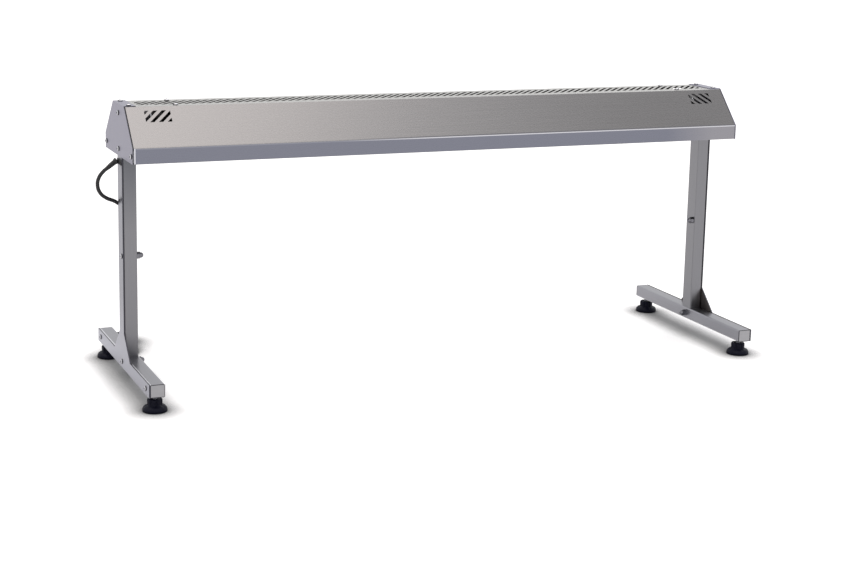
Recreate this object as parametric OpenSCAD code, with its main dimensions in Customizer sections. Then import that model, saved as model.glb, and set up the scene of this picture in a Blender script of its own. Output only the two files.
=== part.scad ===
// Food heat lamp: a long stainless hood on two footed posts, with a quartz heater hung under it.
// X runs along the hood, Y from the front to the back, Z up. The origin is on the ground.

/* [Hood] */
// Distance from the hood's ends to the ends of the heater that hangs in it
heater_inset = 60; // [56:1:80]
// Depth of the hood at its skirt
hood_d = 246; // [230:1:280]
// Height of the hood's bottom edge above the ground
hood_z = 484; // [440:1:560]
// Height of the hood from its bottom edge to its top
hood_h = 108; // [106:1:120]
// Height of the skirt, the upright band along the hood's front and back
skirt_h = 32; // [24:1:36]
// Width of the flat top of the hood
top_w = 98; // [94:1:110]
// Thickness of the hood's folded sheet
skin_t = 1.2; // [1:0.1:1.5]
// Thickness of the end plates
end_plate_t = 1.5; // [1.2:0.1:2]
// Width of the skirt's inward lip
lip_w = 12; // [8:1:14]
// Outside radius of the hood's folds
fold_r = 2.5; // [2:0.1:3.5]
// Gap between the folded sheet and an end plate
skin_gap = 1.5; // [0.5:0.1:3]
// How far an end plate's top flange reaches along the hood
flange_l = 25; // [20:1:30]
// Width of an arm of a corner angle
angle_w = 22; // [20:1:24]
// Height of a corner angle
angle_h = 24; // [20:1:24]

/* [Vents] */
// Distance from the hood's ends to the row of slots on the top
top_vent_inset = 35; // [32:1:120]
// Width of the row of slots on the top
top_vent_w = 54; // [40:1:58]
// Distance along the hood from one top slot to the next
top_slot_pitch = 16; // [14:0.5:24]
// Width of a top slot
top_slot_w = 6.5; // [4:0.1:7]
// Slant of a top slot to the hood's length
top_slot_angle = 50; // [45:1:60]
// Length of a group of slots on a slope
corner_vent_l = 54; // [45:1:60]
// Height of a group of slots along the slope
corner_vent_h = 29; // [24:1:32]
// Distance from the hood's end to the middle of a group of slots
corner_vent_inset = 66; // [60:1:90]
// Distance down the slope from the top fold to a group of slots
corner_vent_drop = 13; // [10:1:20]
// Distance along the hood from one slot of a group to the next
corner_slot_pitch = 18; // [16:0.5:20]
// Width of a slot of a group
corner_slot_w = 6.2; // [4:0.1:7]

/* [Stand] */
// Width of a post along the hood
post_w = 28; // [26:1:34]
// Depth of a post from front to back
post_d = 38; // [36:1:44]
// Length of a base rail from front to back
rail_l = 470; // [440:1:560]
// Width of a base rail along the hood
rail_w = 30; // [30:1:34]
// Height of a base rail
rail_h = 27; // [26:1:32]
// Height of a base rail's underside above the ground
rail_z = 34; // [34:1:37]
// Wall of the posts and the base rails
tube_t = 1.5; // [1.2:0.1:2]
// Outside corner radius of the posts and the base rails
tube_r = 3; // [2.5:0.1:4]
// Thickness of the side plates
side_plate_t = 2.5; // [2:0.1:3]
// Reach of a side plate's gusset past the post
gusset_l = 51; // [40:1:80]
// Height of a side plate's gusset
gusset_h = 50; // [40:1:80]
// Distance from the hood's top down to the top of a post
post_drop = 8; // [6:1:14]
// Height of the bolt through the post above the ground
post_bolt_z = 275; // [200:1:340]
// Distance of that bolt in front of the post's middle
post_bolt_y = 9; // [6:1:10]
// Distance from a base rail's end to its screw
rail_screw_inset = 27; // [20:1:60]
// Height of the cable slot's middle below the hood's bottom edge
slot_drop = 12.5; // [11:0.5:20]
// Height of the cable slot
slot_h = 8; // [8:0.5:9]
// Width of the cable slot
slot_w = 30; // [28:1:31]

/* [Feet] */
// Distance from a base rail's end to the middle of a foot
foot_inset = 25; // [25:1:60]
// Diameter of a foot's pad
foot_d = 50; // [40:1:60]
// Thickness of a foot's pad at its rim
foot_rim_h = 5; // [4:0.5:6]
// Height at which the pad's cone meets its hub
foot_shoulder_z = 13.5; // [12:0.5:15]
// Diameter of a foot's hub
hub_d = 31; // [26:1:34]
// Height of the top of the hub
hub_z = 26.5; // [24:0.5:26.5]
// Diameter of a foot's threaded stem
stem_d = 10; // [8:0.1:12]
// Height of the stem's lower end inside the hub
stem_z = 8; // [6:0.5:12]
// Length of a foot's stem
stem_l = 43.5; // [38:0.5:43.5]
// Gap between a foot's stem and the bores it turns in
stem_gap = 0.05; // [0.03:0.01:0.1]

/* [Heater] */
// Width of the heater
heater_w = 110; // [104:1:112]
// Height of the heater without its bolt rail
heater_h = 62; // [60:1:64]
// Height of the heater's underside above the hood's bottom edge
heater_rise = 30; // [29:1:31]
// Wall of the heater's casings
heater_t = 2; // [1.5:0.1:2.5]
// Thickness of the heater's end caps
cap_t = 3; // [2:0.5:4]
// Thickness of the heater's bottom covers
cover_t = 1.5; // [1:0.1:2]
// Length of the control section
control_l = 150; // [145:1:200]
// Gap between the control section and the lamp section
section_gap = 6; // [4:0.5:20]
// Length of a lamp window
window_l = 300; // [240:1:360]
// Width of a lamp window
window_w = 76; // [70:1:78]
// Length of the bar between two lamp windows
window_bar = 50; // [40:1:80]
// Length of the cover between the outer lamp windows and the lamp section's ends
lamp_end_l = 62; // [54:1:90]
// Inside radius of the reflector
reflector_r = 42; // [40:0.5:43]
// Thickness of the reflector
reflector_t = 0.8; // [0.6:0.1:1]
// Diameter of a quartz tube
quartz_d = 12; // [11:0.5:13]
// Wall of a quartz tube
quartz_t = 1; // [0.8:0.1:1.2]
// Height of the quartz tubes above the heater's underside
quartz_rise = 18; // [16:0.5:20]
// Width of the ceramic holders from front to back
holder_w = 30; // [24:1:34]
// Diameter of a guard wire
guard_d = 2; // [1.6:0.1:2.5]
// How far a guard wire bows out below the cover
guard_bow = 7; // [5:0.5:9]

/* [Controls] */
// Diameter of the dial plate
dial_d = 64; // [60:1:70]
// Thickness of the dial plate
dial_t = 1; // [0.8:0.1:1.5]
// Diameter of the knob's skirt
knob_d = 52; // [46:1:56]
// Thickness of the knob's skirt
knob_skirt_h = 4; // [3:0.5:5]
// Height of the whole knob
knob_h = 22; // [18:0.5:23]
// Width of the knob's grip bar
grip_w = 13; // [11:0.5:16]
// Diameter of the knob's shaft
shaft_d = 6; // [5:0.5:8]
// Gap between the knob's shaft and the switch
shaft_gap = 0.05; // [0.03:0.01:0.1]
// Distance from the control section's outer end to the knob
knob_inset = 75; // [60:1:80]

/* [Fasteners] */
// Diameter of the dome heads
head_d = 11.5; // [10:0.5:13]
// Height of the dome heads
head_h = 3.6; // [3:0.1:4.5]
// Diameter of the screws that hold the sheets
screw_d = 6; // [5:0.5:6]
// Diameter of the bolts through the posts and the base rails
bolt_d = 8; // [6:0.5:8]
// Width across the flats of the dome nuts
dome_nut_w = 13; // [12:0.5:14]
// Height of the dome nuts
dome_nut_h = 15; // [12:0.5:17]
// Distance of the top screws from the hood's middle line
top_screw_y = 37; // [35:0.5:38]
// Distance from the hood's end to its flange screws
flange_screw_inset = 13; // [10:0.5:15]
// Distance from the heater's end to its hangers' middle
hanger_inset = 50; // [40:1:60]
// Length of a hanger along the hood
hanger_l = 30; // [24:1:36]

/* [Cord] */
// Diameter of the mains cord
cord_d = 8; // [7:0.1:8.2]
// Height of the middle of the cable gland above the heater's underside
gland_rise = 31; // [29:1:33]
// Length of the tapered strain relief
relief_l = 24; // [20:1:30]

/* [Hidden] */
$fn = 48;
// Cuts reach this far past the faces that they open
cut = 1;
left = -1;
right = 1;
sides = [left, right];

// Lengths, from the lamp windows out to the hood's ends
lamp_count = 3;
window_pitch = window_l + window_bar;
lamp_l = lamp_count * window_pitch - window_bar + 2 * lamp_end_l;
heater_l = control_l + section_gap + lamp_l;
hood_l = heater_l + 2 * heater_inset;

// Hood
half_l = hood_l / 2;
half_d = hood_d / 2;
half_top = top_w / 2;
hood_top = hood_z + hood_h;
skirt_top = hood_z + skirt_h;
slope_run = half_d - half_top;
slope_rise = hood_h - skirt_h;
slope_angle = atan2(slope_rise, slope_run);
// The folded sheet's top lies under the end plates' flanges
skin_top = hood_top - end_plate_t;
skin_half_top = half_top + end_plate_t * slope_run / slope_rise;
skin_under = skin_top - skin_t;
skin_half_l = half_l - end_plate_t - skin_gap;
end_inner_x = half_l - end_plate_t;
skirt_inner_y = half_d - skin_t;
top_vent_l = hood_l - 2 * top_vent_inset;
angle_t = 2;
angle_screw_inset = 10;
angle_screw_y = skirt_inner_y - angle_screw_inset;

// Stand
plate_x = end_inner_x - side_plate_t;
post_x = plate_x - post_w;
post_mid_x = plate_x - post_w / 2;
post_top = hood_top - post_drop;
rail_top = rail_z + rail_h;
rail_x = plate_x - rail_w;
rail_mid_x = plate_x - rail_w / 2;
rail_mid_z = rail_z + rail_h / 2;
rail_half_l = rail_l / 2;
half_post_d = post_d / 2;
slot_z = hood_z - slot_drop;
upper_screw_z = hood_top - 19;
lower_screw_z = hood_z + 15;
angle_z = lower_screw_z - angle_h / 2;

// Feet
foot_y = rail_half_l - foot_inset;
stem_bore_d = stem_d + 2 * stem_gap;
insert_d = stem_d + 6;
insert_flange_d = insert_d + 3;
insert_flange_t = 2;
insert_top = rail_z + 12;

// Heater, measured from its left end
heater_z = hood_z + heater_rise;
heater_top = heater_z + heater_h;
heater_half_l = heater_l / 2;
heater_half_w = heater_w / 2;
arch_r = heater_h - 6;
arch_z = heater_top - arch_r;
control_x0 = -heater_half_l;
control_x1 = control_x0 + control_l;
lamp_x0 = control_x1 + section_gap;
lamp_x1 = heater_half_l;
lamp_mid_x = (lamp_x0 + lamp_x1) / 2;
cover_top = heater_z + cover_t;
window_xs = [
    for (i = [0:lamp_count - 1])
        lamp_mid_x + (i - (lamp_count - 1) / 2) * window_pitch
];
ledge_w = 6;
ledge_t = 2;
cover_gap = 0.1;
cover_half_w = heater_half_w - heater_t - cover_gap;
bolt_rail_h = 1;
bolt_rail_top = heater_top + bolt_rail_h;
bolt_slot_w = 8;
bolt_head_w = 13.6;
bolt_slot_inner_w = 14;
bolt_slot_inner_h = 4;
bolt_slot_lip = 2;
reflector_z = heater_z + 8;
reflector_lip_y = heater_half_w - heater_t - ledge_w - 0.5;
quartz_z = heater_z + quartz_rise;
quartz_overlap = 8;
holder_gap_l = window_bar - 4;
holder_end_l = 30;
tube_reach = 2 + quartz_overlap;
quartz_l = window_l + 2 * tube_reach;
holder_gap = 0.1;
loom_d = 6;
loom_y = 22;
loom_r = reflector_r + reflector_t + loom_d / 2;
loom_z = reflector_z + sqrt(loom_r * loom_r - loom_y * loom_y);
guard_half_w = window_w / 2 + 3;
guard_post_l = cover_t + 0.65 * guard_d;
guard_arc_r = (guard_half_w * guard_half_w + guard_bow * guard_bow) / (2 * guard_bow);
guard_wire_z = heater_z - 0.65 * guard_d - 0.1;
guard_long_y = 22;
guard_end_inset = 14;
guard_xs = [-window_l / 2 + guard_end_inset, 0, window_l / 2 - guard_end_inset];
reflector_end_gap = 30;
reflector_l = lamp_l - 2 * cap_t - 2 * reflector_end_gap;
spacer_d = 26;
spacer_bore = 20;

// Controls
knob_x = control_x0 + knob_inset;
dial_z = heater_z - dial_t;
knob_gap = 0.3;
knob_top = dial_z - knob_gap;
knob_z = knob_top - knob_h;
bush_d = shaft_d + 4;
bush_hole_d = bush_d + 0.2;
switch_l = 34;
switch_w = 34;
switch_h = 26;
shaft_z = knob_z + 6;
shaft_top = cover_top + 20;
terminal_x = knob_x + 40;
terminal_y = 20;
terminal_l = 22;
terminal_w = 30;
terminal_h = 16;

// Fasteners
clinch_h = 4.5;
hanger_x = heater_half_l - hanger_inset;
hanger_t = 2;
hanger_half_w = 22;
hanger_reach = 46;
hanger_base_z = bolt_rail_top;
hanger_flange_z = skin_under - hanger_t;

// Inner cord: from the terminal block through the gland, down inside the left post and out of the slot
gland_z = heater_z + gland_rise;
gland_x = -heater_half_l;
gland_l = 22;
gland_d = 20;
gland_thread_d = 16;
gland_inner_l = 6;
cord_r = cord_d / 2;
cord_y = 12;
exit_x = -half_l;
grommet_lip_h = 11;
grommet_lip_d = post_d - 2;
relief_neck_d = cord_d;
relief_flange_d = 14;
relief_flange_l = 4;
relief_root = [exit_x - relief_flange_l + 0.8, cord_y, slot_z];
relief_pitch = 38;
relief_root_d = 12;
relief_tip_d = 9.6;
relief_tip = relief_root - relief_l * [cos(relief_pitch), 0, sin(relief_pitch)];
neck_in_x = exit_x + 12;

// The hank of put-away cord lies behind the left post, its runs along the line from its middle
hank_mid = [-628, 290, 0];
hank_turn = 13;
hank_fold_r = 3 * cord_d;
hank_run = 80;
hank_loops = 2;
hank_waist = 10;
hank_step = 9;
hank_lift = 1.3;
hank_start = -30;
tail_r = 30;
tail_turn = 38;
tail_rise = 9;
tie_l = 14;
tie_t = 1;
tie_gap = 0.4;
run_half = hank_run / 2;
run_steps = 6;
fold_steps = 6;

// Points in the hank's own lines: across, along and up
function waist_pull(s) = (1 + cos(180 * s / run_half)) / 2;
function run_w(s) = hank_fold_r - (hank_fold_r - hank_waist) * waist_pull(s);
function layer_z(k) = cord_r + k * hank_step;
function lifted(s) = hank_lift * waist_pull(s);
function up_run(k, from) = [
    for (i = [0:run_steps])
        let (s = from + (run_half - from) * i / run_steps)
        [run_w(s), s, layer_z(k) + lifted(s)]
];
function far_fold(k) = [
    for (i = [1:fold_steps - 1])
        let (a = 180 * i / fold_steps)
        [hank_fold_r * cos(a), run_half + hank_fold_r * sin(a), layer_z(k)]
];
function down_run(k) = [
    for (i = [0:run_steps])
        let (s = run_half - hank_run * i / run_steps)
        [-run_w(s), s, layer_z(k) + lifted(s) + hank_step * (1 - cos(180 * i / run_steps)) / 2]
];
function near_fold(k) = [
    for (i = [1:fold_steps - 1])
        let (a = 180 * i / fold_steps)
        [-hank_fold_r * cos(a), -run_half - hank_fold_r * sin(a), layer_z(k)]
];
// The last fold climbs onto the hank and turns in to meet the plug
tail_z = layer_z(hank_loops);
function tail_fold() = [
    for (i = [1:fold_steps])
        let (a = (180 + tail_turn) * i / fold_steps)
        [-hank_fold_r * cos(a), -run_half - hank_fold_r * sin(a), tail_z + tail_rise * i / fold_steps]
];
tail_mid = [
    (hank_fold_r + tail_r) * cos(tail_turn),
    -run_half + (hank_fold_r + tail_r) * sin(tail_turn)
];
plug_w = tail_mid[0] - tail_r;
plug_d = 37;
plug_relief_l = 16;
plug_handle_l = 18;
plug_face_l = 12;
plug_l = plug_relief_l + plug_handle_l + plug_face_l;
plug_pin_d = 4.8;
plug_pin_pitch = 19;
plug_pin_l = 19;
plug_pin_seat = 10;
plug_bottom = layer_z(1) + hank_lift + cord_r + tie_gap + tie_t;
plug_axis_z = plug_bottom + plug_d / 2;
function tail_in() = [
    for (i = [1:3])
        let (a = tail_turn * (1 - i / 3))
        [
            tail_mid[0] - tail_r * cos(a),
            tail_mid[1] - tail_r * sin(a),
            tail_z + tail_rise + (plug_axis_z - tail_z - tail_rise) * i / 3
        ]
];
plug_s = tail_mid[1] + cord_d;
hank_path = concat(
    up_run(0, hank_start),
    [for (k = [0:hank_loops - 1]) each concat(
        k == 0 ? [] : up_run(k, -run_half),
        far_fold(k),
        down_run(k),
        k == hank_loops - 1 ? [] : near_fold(k + 1)
    )],
    tail_fold(),
    tail_in(),
    [[plug_w, plug_s, plug_axis_z]]
);
function hank_place(p) = [
    hank_mid[0] + p[0] * cos(hank_turn) + p[1] * sin(hank_turn),
    hank_mid[1] - p[0] * sin(hank_turn) + p[1] * cos(hank_turn),
    hank_mid[2] + p[2]
];
hank_first = hank_place(hank_path[0]);
hank_heading = hank_place(hank_path[1]) - hank_first;

// The free cord's route, from the strain relief to the floor behind the left post
cord_route = concat(
    [
        relief_tip,
        relief_tip - cord_d * [cos(relief_pitch), 0, sin(relief_pitch)],
        [-739, 12.5, 438], [-741.5, 14.5, 421], [-735.5, 17.5, 405], [-722.5, 21, 393.5],
        [-702.5, 25, 384], [-688, 26, 371], [-682, 26, 352], [-680, 27, 328],
        [-677, 30, 300], [-673, 34, 270], [-669, 38, 240], [-665, 41, 210],
        [-662, 44, 180], [-660, 46, 150], [-660, 46, 120], [-660, 46, 90],
        [-660, 46, 62], [-660, 46.5, 40], [-660, 51, 22], [-660, 64, 9],
        [-660, 83, cord_r + 0.3], [-659, 105, cord_r], [-656, 127, cord_r], [-650, 149, cord_r],
        [-642, 170, cord_r], [-632, 190, cord_r], [-622, 209, cord_r], [-614, 228, cord_r]
    ],
    [hank_first - cord_d * hank_heading / norm(hank_heading), hank_first]
);

// The inner cord's route
inner_route = [
    [terminal_x - terminal_l / 2, terminal_y, cover_top + 8],
    [terminal_x - terminal_l / 2 - 8, terminal_y, cover_top + 8],
    [knob_x, terminal_y + 10, cover_top + 9],
    [knob_x - 22, terminal_y + 6, cover_top + 15],
    [control_x0 + 36, terminal_y - 8, gland_z - 6],
    [control_x0 + 20, 2, gland_z - 2],
    [control_x0 + cap_t + gland_inner_l + 2, 0, gland_z],
    [gland_x - gland_l - 2, 0, gland_z],
    [gland_x - gland_l - 8, 1, gland_z - 3],
    [post_mid_x * left + 8, 3, gland_z - 11],
    [post_mid_x * left + 5, 5, gland_z - 24],
    [post_mid_x * left + 6, 8, (gland_z + slot_z) / 2],
    [post_mid_x * left + 6, 11, slot_z + 22],
    [post_mid_x * left + 4, 12, slot_z + 9],
    [post_mid_x * left, 12, slot_z + 2],
    [neck_in_x + 4, cord_y, slot_z],
    [neck_in_x, cord_y, slot_z]
];

// Vectors and paths
function unit(v) = v / norm(v);
function left_of(v) = [-v[1], v[0]];
function spun(v, a) = [v[0] * cos(a) - v[1] * sin(a), v[0] * sin(a) + v[1] * cos(a)];
function bend(before, at, after) =
    let (u = unit(at - before), v = unit(after - at))
    atan2(u[0] * v[1] - u[1] * v[0], u * v);
// The points of a fold's arc, in place of a sharp corner
function fold_points(before, at, after, r, steps) =
    let (
        a = bend(before, at, after),
        u = unit(at - before),
        start = at - u * r * tan(abs(a) / 2),
        mid = start + left_of(u) * r * sign(a)
    )
    [for (i = [0:steps]) mid + spun(start - mid, a * i / steps)];
function folded(path, r, steps) = concat(
    [path[0]],
    [for (i = [1:len(path) - 2]) each fold_points(path[i - 1], path[i], path[i + 1], r, steps)],
    [path[len(path) - 1]]
);
// The same path moved sideways to its left by t
function beside(path, t) = [
    for (i = [0:len(path) - 1])
        let (
            a = unit(path[max(i, 1)] - path[max(i, 1) - 1]),
            b = unit(path[min(i, len(path) - 2) + 1] - path[min(i, len(path) - 2)]),
            m = (left_of(a) + left_of(b)) / (1 + a * b)
        )
        path[i] + m * t
];
function backwards(path) = [for (i = [len(path) - 1:-1:0]) path[i]];
module folded_sheet(path, t) {
    polygon(concat(path, backwards(beside(path, t))));
}

// A round tube swept along a path. The rings' first axis stands square to the reference direction.
function heading(path, i) =
    let (last = len(path) - 1)
    unit(
        unit(path[min(i + 1, last)] - path[min(i, last - 1)])
        + unit(path[max(i, 1)] - path[max(i - 1, 0)])
    );
function ring(p, d, ref, r, n) =
    let (u = unit(cross(d, ref)), v = cross(d, u))
    [for (i = [0:n - 1]) p + r * (cos(360 * i / n) * u + sin(360 * i / n) * v)];
module swept_tube(path, r, n, ref) {
    last = len(path) - 1;
    rings = [for (i = [0:last]) each ring(path[i], heading(path, i), ref, r, n)];
    walls = [
        for (i = [0:last - 1], j = [0:n - 1])
            let (a = i * n + j, b = i * n + (j + 1) % n)
            each [[a, a + n, b], [b, a + n, b + n]]
    ];
    front = [for (j = [1:n - 2]) [0, j, j + 1]];
    back = [for (j = [1:n - 2]) [last * n, last * n + j + 1, last * n + j]];
    polyhedron(points = rings, faces = concat(walls, front, back));
}
// Least distance from a path's points to its own later stretches, less the tube's width
function to_segment(p, a, b) =
    let (t = max(0, min(1, (p - a) * (b - a) / ((b - a) * (b - a)))))
    norm(p - a - t * (b - a));
function own_gap(path, r, skip) = min([
    for (i = [0:len(path) - 1], j = [0:len(path) - 2])
        if (j > i + skip || j < i - skip - 1) to_segment(path[i], path[j], path[j + 1])
]) - 2 * r;
echo(hank_gap = own_gap(hank_path, cord_r, 4));
function path_length(path) =
    [for (i = [1:len(path) - 1]) norm(path[i] - path[i - 1])] * [for (i = [1:len(path) - 1]) 1];
echo(cord_length = path_length(cord_route) + path_length(hank_path));

// Shared shapes
module dome_head(d, h) {
    r = (d * d / 4 + h * h) / (2 * h);
    intersection() {
        translate([0, 0, h - r]) sphere(r);
        cylinder(d = d, h = h);
    }
}
// A screw along +Z from its head's seat at 0, with its shank going down
module dome_screw(d, l) {
    dome_head(head_d, head_h);
    translate([0, 0, -l]) cylinder(d = d, h = l + cut / 2);
}
// A child that points along +Z is turned to point outwards, away from the hood's middle
module outwards(side, x, y, z) {
    translate([side * x, y, z]) rotate([0, side * 90, 0]) children();
}
module clinch_nut(d) {
    difference() {
        cylinder(d = d + 4, h = clinch_h);
        translate([0, 0, -cut]) cylinder(d = d + 0.1, h = clinch_h + 2 * cut);
    }
}
module rounded_box(w, d, r) {
    translate([-w / 2 + r, -d / 2]) square([w - 2 * r, d]);
    translate([-w / 2, -d / 2 + r]) square([w, d - 2 * r]);
    for (x = sides, y = sides) {
        translate([x * (w / 2 - r), y * (d / 2 - r)]) circle(r);
    }
}
module box_tube(w, d, l) {
    linear_extrude(l) difference() {
        rounded_box(w, d, tube_r);
        rounded_box(w - 2 * tube_t, d - 2 * tube_t, tube_r - tube_t);
    }
}

// Hood
// The sheet is drawn as its lips and the rest of it, which meet just inside the skirt's lower folds
lip_root = fold_r + 0.5;
skin_path = folded([
    [-half_d + lip_root, hood_z],
    [-half_d, hood_z],
    [-half_d, skirt_top],
    [-skin_half_top, skin_top],
    [skin_half_top, skin_top],
    [half_d, skirt_top],
    [half_d, hood_z],
    [half_d - lip_root, hood_z]
], fold_r, 4);
// A row of slanting slots, cut off at the row's own box
module slots(l, w, pitch, slot, angle) {
    lean = w / 2 / tan(angle);
    half = slot / 2 / sin(angle);
    count = ceil((l / 2 + abs(lean) + half) / pitch);
    intersection() {
        square([l, w], center = true);
        for (i = [-count:count]) {
            translate([i * pitch, 0]) polygon([
                [-lean - half, -w / 2],
                [-lean + half, -w / 2],
                [lean + half, w / 2],
                [lean - half, w / 2]
            ]);
        }
    }
}
module canopy() {
    vent_mid = corner_vent_drop + corner_vent_h / 2;
    color("silver") difference() {
        translate([-skin_half_l, 0, 0]) rotate([90, 0, 90])
            linear_extrude(2 * skin_half_l) folded_sheet(skin_path, -skin_t);
        translate([0, 0, skin_under - cut])
            linear_extrude(skin_t + 2 * cut)
                slots(top_vent_l, top_vent_w, top_slot_pitch, top_slot_w, top_slot_angle);
        for (x = sides, y = sides) {
            translate([x * (half_l - corner_vent_inset), y * half_top, hood_top])
                rotate([-y * slope_angle, 0, 0])
                    translate([0, y * vent_mid, -skin_t - cut])
                        linear_extrude(skin_t + 2 * cut)
                            slots(corner_vent_l, corner_vent_h, corner_slot_pitch,
                                corner_slot_w, x * y * 45);
        }
        for (x = sides, y = sides, at = [half_l - flange_screw_inset, hanger_x]) {
            translate([x * at, y * top_screw_y, skin_under - cut])
                cylinder(d = screw_d + 0.4, h = skin_t + 2 * cut);
        }
    }
}
module canopy_lips() {
    color("silver") for (y = sides) {
        translate([-skin_half_l, y > 0 ? half_d - lip_w : -half_d + lip_root, hood_z])
            cube([2 * skin_half_l, lip_w - lip_root, skin_t]);
    }
}
module end_plate(side) {
    color("gainsboro") difference() {
        union() {
            translate([side < 0 ? -half_l : end_inner_x, 0, 0]) rotate([90, 0, 90])
                linear_extrude(end_plate_t) polygon([
                    [-half_d, hood_z], [half_d, hood_z], [half_d, skirt_top],
                    [half_top, hood_top], [-half_top, hood_top], [-half_d, skirt_top]
                ]);
            translate([side < 0 ? -half_l : half_l - flange_l, -half_top, skin_top])
                cube([flange_l, top_w, end_plate_t]);
        }
        for (y = sides) {
            translate([side * (half_l - flange_screw_inset), y * top_screw_y, skin_top - cut])
                cylinder(d = screw_d + 0.4, h = end_plate_t + 2 * cut);
            outwards(side, end_inner_x - cut, y * angle_screw_y, lower_screw_z)
                cylinder(d = screw_d + 0.4, h = end_plate_t + 2 * cut);
        }
        for (z = [upper_screw_z, lower_screw_z]) {
            outwards(side, end_inner_x - cut, 0, z)
                cylinder(d = screw_d + 0.4, h = end_plate_t + 2 * cut);
        }
    }
}
module end_plate_left() { end_plate(left); }
module end_plate_right() { end_plate(right); }
module corner_angles() {
    color("darkgray") for (x = sides, y = sides) {
        scale([x, y, 1]) difference() {
            translate([end_inner_x - angle_w, skirt_inner_y - angle_w, angle_z]) difference() {
                cube([angle_w, angle_w, angle_h]);
                translate([-cut, -cut, -cut])
                    cube([angle_w - angle_t + cut, angle_w - angle_t + cut, angle_h + 2 * cut]);
            }
            translate([end_inner_x - angle_t - cut, angle_screw_y, lower_screw_z])
                rotate([0, 90, 0]) cylinder(d = screw_d + 0.4, h = angle_t + 2 * cut);
        }
    }
}

// Screws and nuts
// Those on the top: at the ends they hold the end plates, and further in the hangers
module top_screws() {
    color("whitesmoke") for (x = sides, y = sides) {
        translate([x * (half_l - flange_screw_inset), y * top_screw_y, hood_top])
            dome_screw(screw_d, end_plate_t + skin_t + clinch_h);
        translate([x * hanger_x, y * top_screw_y, skin_top])
            dome_screw(screw_d, skin_t + hanger_t + clinch_h);
    }
}
module end_plate_screws() {
    color("whitesmoke") for (x = sides) {
        for (z = [upper_screw_z, lower_screw_z]) {
            outwards(x, half_l, 0, z)
                dome_screw(screw_d, end_plate_t + side_plate_t + tube_t + clinch_h);
        }
        for (y = sides) {
            outwards(x, half_l, y * angle_screw_y, lower_screw_z)
                dome_screw(screw_d, end_plate_t + angle_t + clinch_h);
        }
    }
}
module clinch_nuts() {
    color("lightgray") for (x = sides, y = sides) {
        translate([x * (half_l - flange_screw_inset), y * top_screw_y, skin_under - clinch_h])
            clinch_nut(screw_d);
        translate([x * hanger_x, y * top_screw_y, hanger_flange_z - clinch_h])
            clinch_nut(screw_d);
        outwards(x, end_inner_x - angle_t - clinch_h, y * angle_screw_y, lower_screw_z)
            clinch_nut(screw_d);
        outwards(x, plate_x - tube_t - clinch_h, 0, y > 0 ? upper_screw_z : lower_screw_z)
            clinch_nut(screw_d);
        outwards(x, plate_x - tube_t - clinch_h, y * (rail_half_l - rail_screw_inset), rail_mid_z)
            clinch_nut(screw_d);
    }
}
module rail_screws() {
    color("whitesmoke") for (x = sides, y = sides) {
        outwards(x, end_inner_x, y * (rail_half_l - rail_screw_inset), rail_mid_z)
            dome_screw(screw_d, side_plate_t + tube_t + clinch_h);
    }
}
// The bolts through the posts and the rails: head outside, dome nut inside
module through_bolts() {
    color("whitesmoke") for (x = sides) {
        outwards(x, end_inner_x, -post_bolt_y, post_bolt_z)
            dome_screw(bolt_d, side_plate_t + post_w + dome_nut_h - 4);
        outwards(x, end_inner_x, 0, rail_mid_z)
            dome_screw(bolt_d, side_plate_t + rail_w + dome_nut_h - 4);
    }
}
module dome_nut() {
    hex_h = dome_nut_h * 0.5;
    dome_d = dome_nut_w * 0.9;
    difference() {
        union() {
            cylinder(d = dome_nut_w / cos(30), h = hex_h, $fn = 6);
            cylinder(d = dome_d, h = dome_nut_h - dome_d / 2);
            translate([0, 0, dome_nut_h - dome_d / 2]) sphere(d = dome_d);
        }
        translate([0, 0, -dome_d])
            cylinder(d = bolt_d + 0.1, h = dome_d + dome_nut_h - 3.5);
        translate([0, 0, -dome_nut_h]) cylinder(d = 3 * dome_nut_w, h = dome_nut_h);
    }
}
module dome_nuts() {
    color("whitesmoke") for (x = sides) {
        outwards(x, post_x, -post_bolt_y, post_bolt_z) rotate([180, 0, 0]) dome_nut();
        outwards(x, rail_x, 0, rail_mid_z) rotate([180, 0, 0]) dome_nut();
    }
}

// Stand
module post(side) {
    color("silver") difference() {
        translate([side * post_mid_x, 0, rail_top])
            box_tube(post_w, post_d, post_top - rail_top);
        outwards(side, post_x - cut, -post_bolt_y, post_bolt_z)
            cylinder(d = bolt_d + 0.4, h = post_w + 2 * cut);
        for (z = [upper_screw_z, lower_screw_z]) {
            outwards(side, plate_x - tube_t - cut, 0, z)
                cylinder(d = screw_d + 0.4, h = tube_t + 2 * cut);
        }
        if (side == left) {
            cable_slot();
            translate([-post_x - tube_t - cut, 0, gland_z - 4]) rotate([0, 90, 0])
                cylinder(d = cord_d + 12, h = tube_t + 2 * cut);
        }
    }
}
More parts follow.
